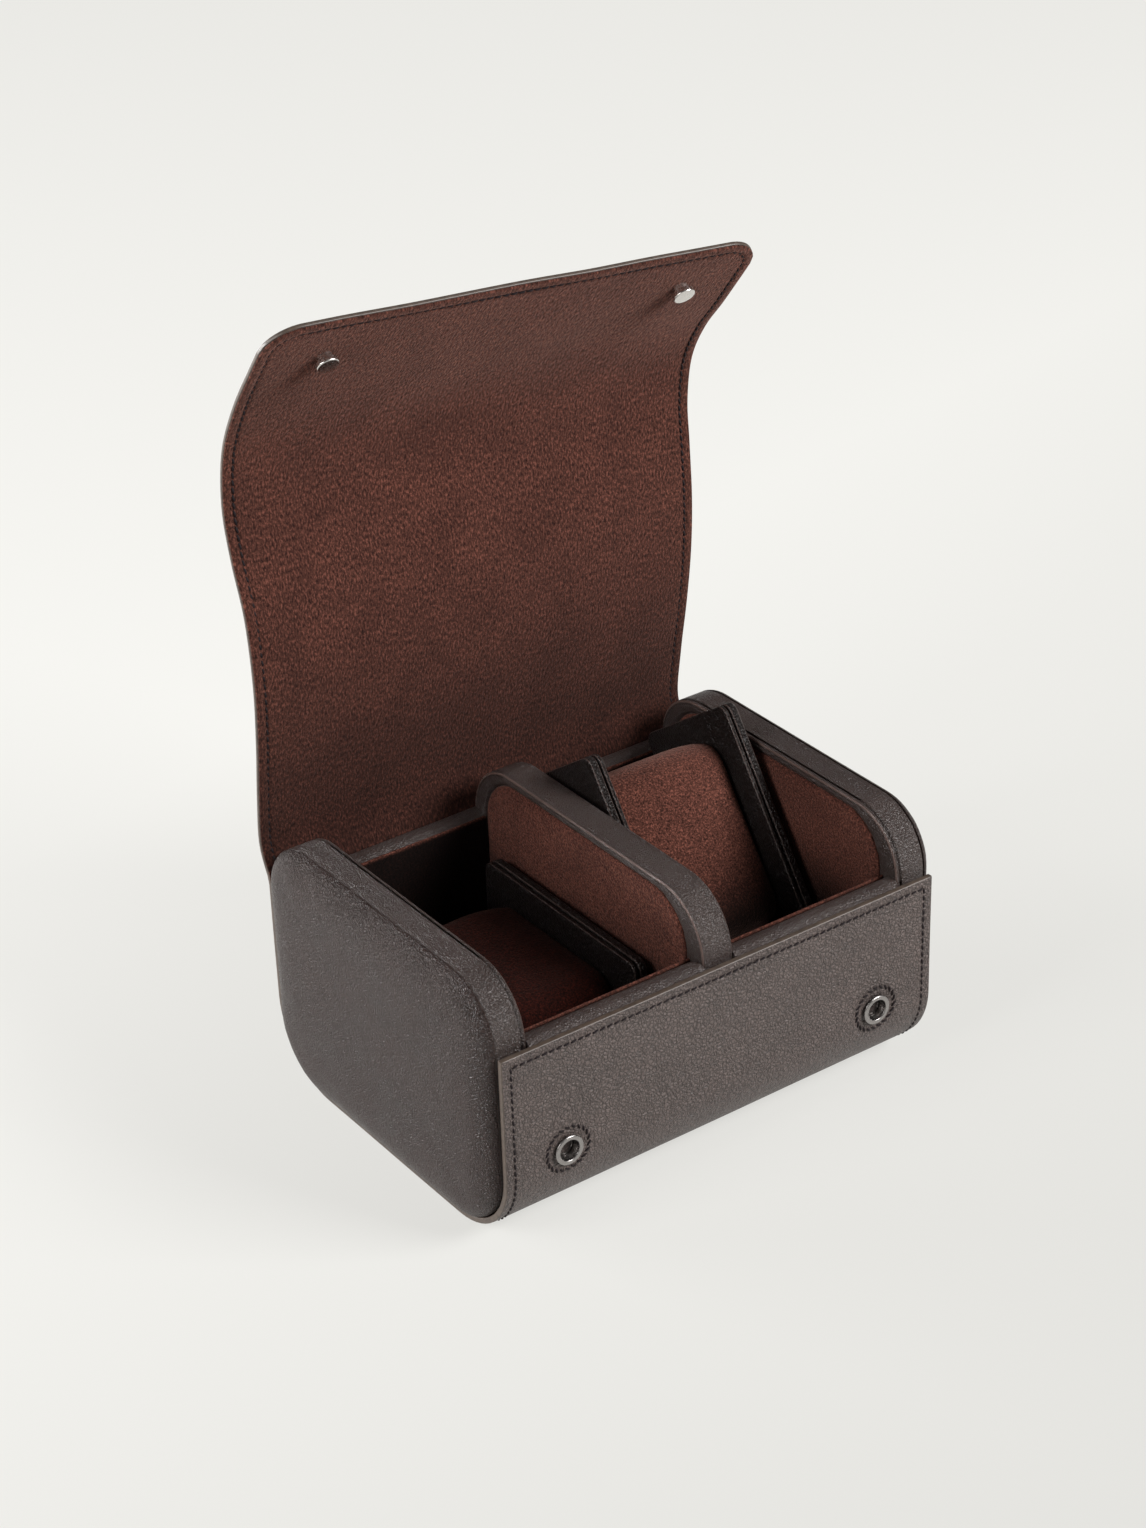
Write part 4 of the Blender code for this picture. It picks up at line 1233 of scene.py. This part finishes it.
# The end pads: where their rings lie in from the seam, how wide their roll is, and the rings that
# close their middle, as shares of the last one
PAD_INSETS = (
    0.0, 0.0002, 0.0006, 0.0013, 0.0023, 0.0036, 0.0052, 0.0070, 0.0090, 0.0112, 0.0136, 0.0162, 0.0190,
)
PAD_ROLL = 0.0115
PAD_MIDDLE = (0.86, 0.72, 0.58, 0.44, 0.3, 0.17, 0.06)


def pad_height(inset):
    """Height of the padding at a distance in from its seam, as a share of its bulge."""
    first_rise = 0.10 * min(inset / 0.0010, 1.0) ** 0.5
    return first_rise + 0.88 * (1 - (1 - min(inset / PAD_ROLL, 1.0)) ** 2) ** 0.75


def make_pad(side, sign):
    """The padded end: it slopes up from its seam and rolls over to an almost flat middle."""
    bulge = sizes().pad_bulge * 1.06
    seam_x = HALF_WIDTH + 0.0001
    rings = []
    for inset in PAD_INSETS:
        rings.append(ring_at(sign * (seam_x + bulge * pad_height(inset)), panel_outline(inset)))
    last = rings[-1]
    middle = last.mean(axis=0)
    rings += [middle + (last - middle) * size for size in PAD_MIDDLE]
    pad = loft("end_cover_" + side, rings, FINISHES["pad"], 60)
    around = len(last)
    inflate(pad, range(around * 2), 3.0, 0.0008)
    ripple_pad(pad, sign, around)
    settle(pad, "case", ["end_pad_" + side])


def ripple_pad(pad, sign, around):
    """Faint pull lines that run in from the seam, and a slow unevenness in the padding."""
    mesh = pad.data
    points = points_of(mesh)
    index = np.arange(len(points))
    ring = index // around
    place = index % around
    fade = np.clip(1 - np.abs(ring - 4.5) / 4.5, 0, 1)
    pulls = np.array([
        noise.noise(Vector((p * 0.9, sign * 5.0, r * 0.12))) for p, r in zip(place, ring)
    ])
    slow = lumpy(points, 0.04, 4 + sign)
    inner = np.clip(ring / 6, 0, 1)
    points[:, 0] += sign * (pulls * 0.00012 * fade + slow * 0.00018 * inner)
    set_points(mesh, points)


# Trays


def u_ring(half, radius, base, top, thickness, floor, inner_radius, rim):
    """A closed U-shaped section with rounded rims."""
    inner_half = half - thickness
    inner_base = base + floor
    c_out = half - radius
    c_in = inner_half - inner_radius
    r = min(rim, thickness / 2 * 0.98)
    outer_left = arc((-c_out, base + radius), radius, 180, 270, 16)
    outer_right = arc((c_out, base + radius), radius, -90, 0, 16)
    top_right = arc((half - r, top - r), r, 0, 90, 8) + arc((inner_half + r, top - r), r, 90, 180, 8)
    inner_right = arc((c_in, inner_base + inner_radius), inner_radius, 0, -90, 14)
    inner_left = arc((-c_in, inner_base + inner_radius), inner_radius, 270, 180, 14)
    top_left = arc((-inner_half - r, top - r), r, 0, 90, 8) + arc((-half + r, top - r), r, 90, 180, 8)
    return outer_left + outer_right + top_right + inner_right + inner_left + top_left


def swept(name, ring, xs, material, wobble, seed):
    """A section drawn along x, with a slow unevenness of wobble in its surface."""
    rings = []
    for x in xs:
        points = ring_at(x, np.array(ring))
        shift = lumpy(points, 0.014, seed)[:, None] * wobble
        way = points[:, 1:] - np.array([0.0, 0.05])
        way /= np.linalg.norm(way, axis=1, keepdims=True)
        points[:, 1:] += way * shift
        rings.append(points)
    return loft(name, rings, material, 50)


def make_tray(side, sign):
    """One bay: the leather-covered U with its rims, and its suede lining."""
    outer_radius = COVER_BOTTOM_RADIUS - COVER_THICKNESS - GAP
    inner_radius = outer_radius - WALL_THICKNESS
    ring = u_ring(
        TRAY_HALF_DEPTH, outer_radius, PANEL_FOOT, TRAY_TOP, WALL_THICKNESS, FLOOR_THICKNESS,
        inner_radius, RIM_ROUND,
    )
    low, high = sorted((sign * TRAY_LOW[0], sign * TRAY_HIGH[0]))
    xs = np.linspace(low, high, 27)
    shell = swept("tray_rim_" + side, ring, xs, FINISHES["rim"], 0.00012, 2 + sign)
    settle(shell, "case", ["tray_shell_" + side])
    thick = 0.0012
    lining = u_ring(
        TRAY_LINING_HIGH[1], inner_radius - GAP, TRAY_LINING_LOW[2], TRAY_TOP - 0.0009, thick, thick,
        inner_radius - GAP - thick, thick / 2,
    )
    low, high = sorted((sign * TRAY_LINING_LOW[0], sign * TRAY_LINING_HIGH[0]))
    xs = np.linspace(low, high, 40)
    # The lining's suede has the bay's shade painted in below the rim
    cloth = swept("tray_suede_" + side, lining, xs, FINISHES["bay_suede"], 0.00014, 6 + sign)
    settle(cloth, "case", ["tray_lining_" + side])


# Watch cushions


def cushion_middle(side):
    low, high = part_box("cushion_" + side + "_pillow")
    return Vector((a + b) / 2 for a, b in zip(low, high))


def cushion_matrix(side):
    """The cushion's own frame: its middle, and the tilt that it stands at."""
    tilt = math.radians(CUSHION_TILT) if side == "right" else 0.0
    return Matrix.Translation(cushion_middle(side)) @ Matrix.Rotation(tilt, 4, "X")


def moved(made, matrix):
    made.data.transform(matrix)
    made.data.update()
    return made


def make_plate(side, end, sign, kind, near, far, matrix, bumpy):
    """One ply of a cushion's side: leather over board, with soft rounded edges."""
    half_length = (PLATE_HIGH[1] - PLATE_LOW[1]) / 2
    half_height = (PLATE_HIGH[2] - PLATE_LOW[2]) / 2
    thickness = far - near
    r = min(0.0009, thickness * 0.42)
    section = []
    for turn in np.radians(np.linspace(0, 90, 5)):
        section.append((near + r * (1 - math.sin(turn)), r * (1 - math.cos(turn))))
    section = [(near, 0.004), (near, 0.002)] + section[::-1]
    back = [(near + far - x, inset) for x, inset in section[::-1]]
    rings = []
    for k, (x, inset) in enumerate(section + back):
        outline = matched_outline(
            (-half_length, -half_height), (half_length, half_height), 0.0045, 0.0045, inset
        )
        ring = ring_at(sign * x, outline)
        ring[:, 1:] += (lumpy(ring, 0.02, bumpy) * 0.00002)[:, None]
        rings.append(ring)
    name = f"cushion_{side}_{kind}_leather_{end}"
    # The rounded edges take the lighter leather that paints their highlight
    edges = (len(section) - 3, len(rings) - len(section) + 1)
    plate = moved(loft(name, rings, FINISHES["plate"], 50, FINISHES["plate_edge"], edges), matrix)
    settle(plate, "case", [f"cushion_{side}_{kind}_plate_{end}"])


def make_pillow(side, matrix):
    """A suede pillow, crowned between its plates and drawn in at its ends."""
    half_width = (PILLOW_HIGH[0] - PILLOW_LOW[0]) / 2
    half_length = (PILLOW_HIGH[1] - PILLOW_LOW[1]) / 2 - 0.0006
    half_height = (PILLOW_HIGH[2] - PILLOW_LOW[2]) / 2 - 0.0006
    rings = []
    shares = np.concatenate([[-1.0, -0.985, -0.95], np.linspace(-0.88, 0.88, 19), [0.95, 0.985, 1.0]])
    for share in shares:
        tuck = 0.0034 * abs(share) ** 3 + 0.0026 * max((abs(share) - 0.94) / 0.06, 0) ** 2
        outline = matched_outline(
            (-half_length, -half_height), (half_length, half_height), 0.0135, 0.0135, tuck
        )
        rings.append(ring_at(share * half_width, outline))
    # The left pillow takes the copy of the suede that has its bay's shade painted in
    finish = FINISHES["deep_suede" if side == "left" else "suede"]
    pillow = loft(f"cushion_{side}_suede", rings, finish, 70)
    around = len(rings[0])
    ends = list(range(around * 2)) + list(range(around * (len(rings) - 2), around * len(rings)))
    inflate(pillow, ends, 2.2, 0.0012)
    mesh = pillow.data
    points = points_of(mesh)
    normals = np.array([v.normal for v in mesh.vertices])
    middle = np.clip(1 - (np.abs(points[:, 0]) / half_width) ** 6, 0, 1)
    shift = lumpy(points, 0.021, 3 if side == "left" else 5) * 0.0006
    shift += lumpy(points * np.array([0.5, 1.0, 1.0]), 0.0075, 8) * 0.00022
    points += normals * (shift * middle)[:, None]
    set_points(mesh, points)
    moved(pillow, matrix)
    settle(pillow, "case", [f"cushion_{side}_pillow"])


def make_cushion(side):
    """A watch cushion: its pillow, and two plies of leather-covered board at each end."""
    matrix = cushion_matrix(side)
    middle = cushion_middle(side).x
    make_pillow(side, matrix)
    for number, (end, sign) in enumerate(SIDES):
        for layer, kind in enumerate(("inner", "outer")):
            low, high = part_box(f"cushion_{side}_{kind}_plate_{end}")
            near, far = sorted((abs(low[0] - middle), abs(high[0] - middle)))
            make_plate(side, end, sign, kind, near, far, matrix, number + 2 * layer)


# Press studs


def dress(name, finish):
    """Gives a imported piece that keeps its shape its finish."""
    NODES[name].data.materials.clear()
    NODES[name].data.materials.append(FINISHES[finish])


def make_snaps():
    """The sockets in the front panel and the studs on the flap."""
    flange, bore, barrel = 0.0062, 0.0043, 0.0049
    roll = arc((flange - 0.0006, 0.0008), 0.0006, -25, 115, 8)
    lip = arc((bore + 0.0004, 0.0010), 0.0004, 75, 180, 7)
    socket_profile = roll + [(flange - 0.0011, 0.00138), (bore + 0.0008, 0.0014)] + lip
    socket_profile += [
        (bore, 0.0004), (bore - 0.0003, -0.0003), (bore - 0.0005, -0.0012), (bore - 0.0005, -0.0045),
        (barrel, -0.0045), (barrel, 0.0003), (flange - 0.0002, 0.0004),
    ]
    head, neck, top, foot = 0.0043, 0.0030, 0.0042, -0.0011
    stud_profile = [(0.0, top), (head * 0.45, top - 0.00003), (head * 0.72, top - 0.00010)]
    stud_profile += arc((head - 0.0005, top - 0.0006), 0.0005, 80, 0, 5)
    stud_profile += [(head - 0.0002, top - 0.0023), (head - 0.0008, top - 0.0026)]
    stud_profile += [(neck, top - 0.0028), (neck, 0.0), (neck, foot), (0.0, foot)]
    for (side, sign), matrix in zip(SIDES, snap_frames()):
        sunk = matrix @ Matrix.Translation((0, 0, -0.0002))
        socket = turned(f"socket_{side}", socket_profile, FINISHES["dark_nickel"], sunk, closed=True)
        settle(socket, "case", ["snap_socket_" + side])
        on_suede = flap_frame(
            sign * SNAP_X, FLAP_LENGTH - STUD_FROM_EDGE, FLAP_LEATHER + GAP + FLAP_SUEDE
        )
        stud = turned(f"stud_{side}", stud_profile, FINISHES["nickel"], on_suede)
        settle(stud, "lid", ["snap_stud_" + side])
        for name in ("snap_spring_", "snap_washer_", "stud_cap_"):
            dress(name + side, "spring")


# Stage


CAMERA_PLACE = (-0.63033, -0.88475, 0.75585)
CAMERA_AZIMUTH = math.radians(-35.022)
CAMERA_ELEVATION = math.radians(29.717)
CAMERA_ROLL = math.radians(-1.938)
CAMERA_LENS = 78.51

# The floor's glow is painted light that grows paler along this heading, from one distance past the case's
# middle to the other
FLOOR_HEADING = -101.0
FLOOR_REACH = (-0.34, 0.30)
FLOOR_TONES = ((0.645, 0.638, 0.612, 1), (0.925, 0.917, 0.881, 1))
FLOOR_GLOW = 0.80
FLOOR_LEVEL = -0.0004
FLOOR_HALF = 6.0
WORLD_STRENGTH = 0.10
WORLD_SEEN = 0.9

# Each soft box: its name, place, the height that it is aimed at, its size and its watts
SOFT_BOXES = (
    ("back_left_box", (-1.25, 1.30, 0.30), 0.08, (1.1, 0.36), 42.0),
    ("left_box", (-1.50, -0.05, 0.92), 0.12, (0.8, 0.8), 19.0),
    ("front_box", (0.85, -1.18, 1.08), 0.10, (0.8, 0.7), 46.0),
)


def make_camera():
    """The camera, at the place that the photograph was taken from."""
    az, el, roll = CAMERA_AZIMUTH, CAMERA_ELEVATION, CAMERA_ROLL
    towards = Vector((-math.sin(az) * math.cos(el), math.cos(az) * math.cos(el), -math.sin(el)))
    right = Vector((math.cos(az), math.sin(az), 0.0))
    up = right.cross(towards)
    turned_right = right * math.cos(roll) + up * math.sin(roll)
    turned_up = up * math.cos(roll) - right * math.sin(roll)
    data = bpy.data.cameras.new("camera")
    data.lens = CAMERA_LENS
    data.sensor_width = 36.0
    data.clip_start = 0.05
    data.clip_end = 20.0
    camera = bpy.data.objects.new("camera", data)
    matrix = Matrix((turned_right, turned_up, -towards)).transposed().to_4x4()
    matrix.translation = Vector(CAMERA_PLACE)
    camera.matrix_world = matrix
    bpy.context.scene.collection.objects.link(camera)
    bpy.context.scene.camera = camera


def soft_box(name, place, aim_height, size, watts):
    """A rectangular lamp that faces the middle of the case."""
    data = bpy.data.lights.new(name, "AREA")
    data.shape = "RECTANGLE"
    data.size, data.size_y = size
    data.energy = watts
    lamp = bpy.data.objects.new(name, data)
    way = Vector((0.0, 0.0, aim_height)) - Vector(place)
    lamp.matrix_world = Matrix.Translation(place) @ way.to_track_quat("-Z", "Y").to_matrix().to_4x4()
    bpy.context.scene.collection.objects.link(lamp)


def make_stage():
    """A pale floor that keeps a soft shadow, a dim even world and three soft boxes."""
    colour = colours().floor
    material, tree, shader = new_material("pale_floor")
    shader.inputs["Base Color"].default_value = (*colour, 1.0)
    shader.inputs["Roughness"].default_value = 0.9
    shader.inputs["Specular IOR Level"].default_value = 0.1
    place = tree.nodes.new("ShaderNodeTexCoord")
    # Painted light: the floor's glow is paler towards one side, as the studio light falls across it
    turned_place = node(tree, "ShaderNodeMapping", Rotation=(0.0, 0.0, math.radians(FLOOR_HEADING)))
    link(tree, place, "Object", turned_place, "Vector")
    parts = tree.nodes.new("ShaderNodeSeparateXYZ")
    link(tree, turned_place, "Vector", parts, "Vector")
    across = node(tree, "ShaderNodeMapRange", From_Min=FLOOR_REACH[0], From_Max=FLOOR_REACH[1])
    link(tree, parts, "X", across, "Value")
    tone = ramp(tree, [(0.0, FLOOR_TONES[0]), (1.0, FLOOR_TONES[1])])
    link(tree, across, "Result", tone, "Fac")
    glow = node(tree, "ShaderNodeEmission", Strength=1.0)
    link(tree, tone, "Color", glow, "Color")
    rays = tree.nodes.new("ShaderNodeLightPath")
    also = (rays, "Is Transmission Ray")
    for kind in ("Is Camera Ray", "Is Glossy Ray"):
        either = node(tree, "ShaderNodeMath", {"operation": "MAXIMUM"})
        link(tree, rays, kind, either, 0)
        link(tree, *also, either, 1)
        also = (either, 0)
    share = node(tree, "ShaderNodeMath", {"operation": "MULTIPLY"})
    link(tree, *also, share, 0)
    share.inputs[1].default_value = FLOOR_GLOW
    mix = tree.nodes.new("ShaderNodeMixShader")
    link(tree, share, 0, mix, 0)
    link(tree, shader, 0, mix, 1)
    link(tree, glow, 0, mix, 2)
    link(tree, mix, 0, tree.nodes["Material Output"], "Surface")
    corners = ((-1, -1), (1, -1), (1, 1), (-1, 1))
    points = [(x * FLOOR_HALF, y * FLOOR_HALF, FLOOR_LEVEL) for x, y in corners]
    floor = mesh_piece("floor", points, [(0, 1, 2, 3)], [material])
    make_world()
    for box in SOFT_BOXES:
        soft_box(*box)
    bpy.context.scene.view_settings.view_transform = "Standard"


def make_world():
    """A dim even light from all round, which the camera sees as white."""
    world = bpy.data.worlds.new("studio")
    bpy.context.scene.world = world
    world.use_nodes = True
    tree = world.node_tree
    background = tree.nodes["Background"]
    background.inputs["Color"].default_value = (1.0, 0.995, 0.98, 1.0)
    rays = tree.nodes.new("ShaderNodeLightPath")
    strength = node(tree, "ShaderNodeMapRange")
    strength.inputs["To Min"].default_value = WORLD_STRENGTH
    strength.inputs["To Max"].default_value = WORLD_SEEN
    link(tree, rays, "Is Camera Ray", strength, "Value")
    link(tree, strength, "Result", background, "Strength")


# Operators


class WATCHROLL_OT_stage(bpy.types.Operator):
    """Make the floor, the studio light and the camera"""

    bl_idname = "watchroll.stage"
    bl_label = "Stage"

    def execute(self, context):
        make_camera()
        make_stage()
        return {"FINISHED"}


class WATCHROLL_OT_finishes(bpy.types.Operator):
    """Make the leathers, suedes, thread and metal"""

    bl_idname = "watchroll.finishes"
    bl_label = "Finishes"

    def execute(self, context):
        make_finishes()
        return {"FINISHED"}


class WATCHROLL_OT_cover(bpy.types.Operator):
    """Make the leather sheet that wraps the case and becomes the flap"""

    bl_idname = "watchroll.cover"
    bl_label = "Cover sheet"

    def execute(self, context):
        make_cover_sheet()
        return {"FINISHED"}


class WATCHROLL_OT_flap_suede(bpy.types.Operator):
    """Make the suede face of the flap"""

    bl_idname = "watchroll.flap_suede"
    bl_label = "Flap suede"

    def execute(self, context):
        make_flap_suede()
        return {"FINISHED"}


class WATCHROLL_OT_stitching(bpy.types.Operator):
    """Sew the cover's edges, the sockets' rings and the flap"""

    bl_idname = "watchroll.stitching"
    bl_label = "Stitching"

    def execute(self, context):
        make_stitching()
        return {"FINISHED"}


class WATCHROLL_OT_panels(bpy.types.Operator):
    """Make the two end panels and the divider with their suede insets"""

    bl_idname = "watchroll.panels"
    bl_label = "Panels"

    def execute(self, context):
        recess = 0.0016 - GAP
        for side, sign in SIDES:
            make_end_panel(side, sign)
            end_floor = sign * (HALF_WIDTH - PANEL_THICKNESS + recess)
            make_inset("end_suede_" + side, "end_lining_" + side, end_floor, -sign)
            divider_floor = sign * (PANEL_THICKNESS / 2 - recess)
            make_inset("divider_suede_" + side, "divider_lining_" + side, divider_floor, sign)
        make_divider()
        return {"FINISHED"}


class WATCHROLL_OT_pads(bpy.types.Operator):
    """Make the padded leather of both ends"""

    bl_idname = "watchroll.pads"
    bl_label = "End pads"

    def execute(self, context):
        for side, sign in SIDES:
            make_pad(side, sign)
        return {"FINISHED"}


class WATCHROLL_OT_trays(bpy.types.Operator):
    """Make the rims and the suede linings of both bays"""

    bl_idname = "watchroll.trays"
    bl_label = "Trays"

    def execute(self, context):
        for side, sign in SIDES:
            make_tray(side, sign)
        return {"FINISHED"}


class WATCHROLL_OT_cushions(bpy.types.Operator):
    """Make both watch cushions"""

    bl_idname = "watchroll.cushions"
    bl_label = "Watch cushions"

    def execute(self, context):
        for side, _ in SIDES:
            make_cushion(side)
        return {"FINISHED"}


class WATCHROLL_OT_snaps(bpy.types.Operator):
    """Make the press studs and their sockets"""

    bl_idname = "watchroll.snaps"
    bl_label = "Press studs"

    def execute(self, context):
        make_snaps()
        return {"FINISHED"}


OPERATORS = (
    WATCHROLL_OT_stage,
    WATCHROLL_OT_finishes,
    WATCHROLL_OT_cover,
    WATCHROLL_OT_flap_suede,
    WATCHROLL_OT_stitching,
    WATCHROLL_OT_panels,
    WATCHROLL_OT_pads,
    WATCHROLL_OT_trays,
    WATCHROLL_OT_cushions,
    WATCHROLL_OT_snaps,
)


class WATCHROLL_PT_panel(bpy.types.Panel):
    """Lists the steps, sizes and colours of the watch roll"""

    bl_idname = "WATCHROLL_PT_panel"
    bl_label = "Watch roll"
    bl_space_type = "VIEW_3D"
    bl_region_type = "UI"
    bl_category = "Watch roll"

    def draw(self, context):
        layout = self.layout
        for operator in OPERATORS:
            layout.operator(operator.bl_idname)
        for group in (context.scene.watch_roll_sizes, context.scene.watch_roll_colours):
            box = layout.box()
            for name in group.bl_rna.properties.keys():
                if name not in ("rna_type", "name"):
                    box.prop(group, name)


CLASSES = (WatchRollSizes, WatchRollColours, WATCHROLL_PT_panel) + OPERATORS


def register():
    for made in CLASSES:
        bpy.utils.register_class(made)
    bpy.types.Scene.watch_roll_sizes = bpy.props.PointerProperty(type=WatchRollSizes)
    bpy.types.Scene.watch_roll_colours = bpy.props.PointerProperty(type=WatchRollColours)


def unregister():
    del bpy.types.Scene.watch_roll_colours
    del bpy.types.Scene.watch_roll_sizes
    for made in reversed(CLASSES):
        bpy.utils.unregister_class(made)


def main():
    """Makes everything in order."""
    register()
    bpy.ops.watchroll.stage()
    bpy.ops.watchroll.finishes()
    bpy.ops.watchroll.cover()
    bpy.ops.watchroll.flap_suede()
    bpy.ops.watchroll.stitching()
    bpy.ops.watchroll.panels()
    bpy.ops.watchroll.pads()
    bpy.ops.watchroll.trays()
    bpy.ops.watchroll.cushions()
    bpy.ops.watchroll.snaps()
    bpy.context.view_layer.update()


if __name__ == "__main__":
    main()
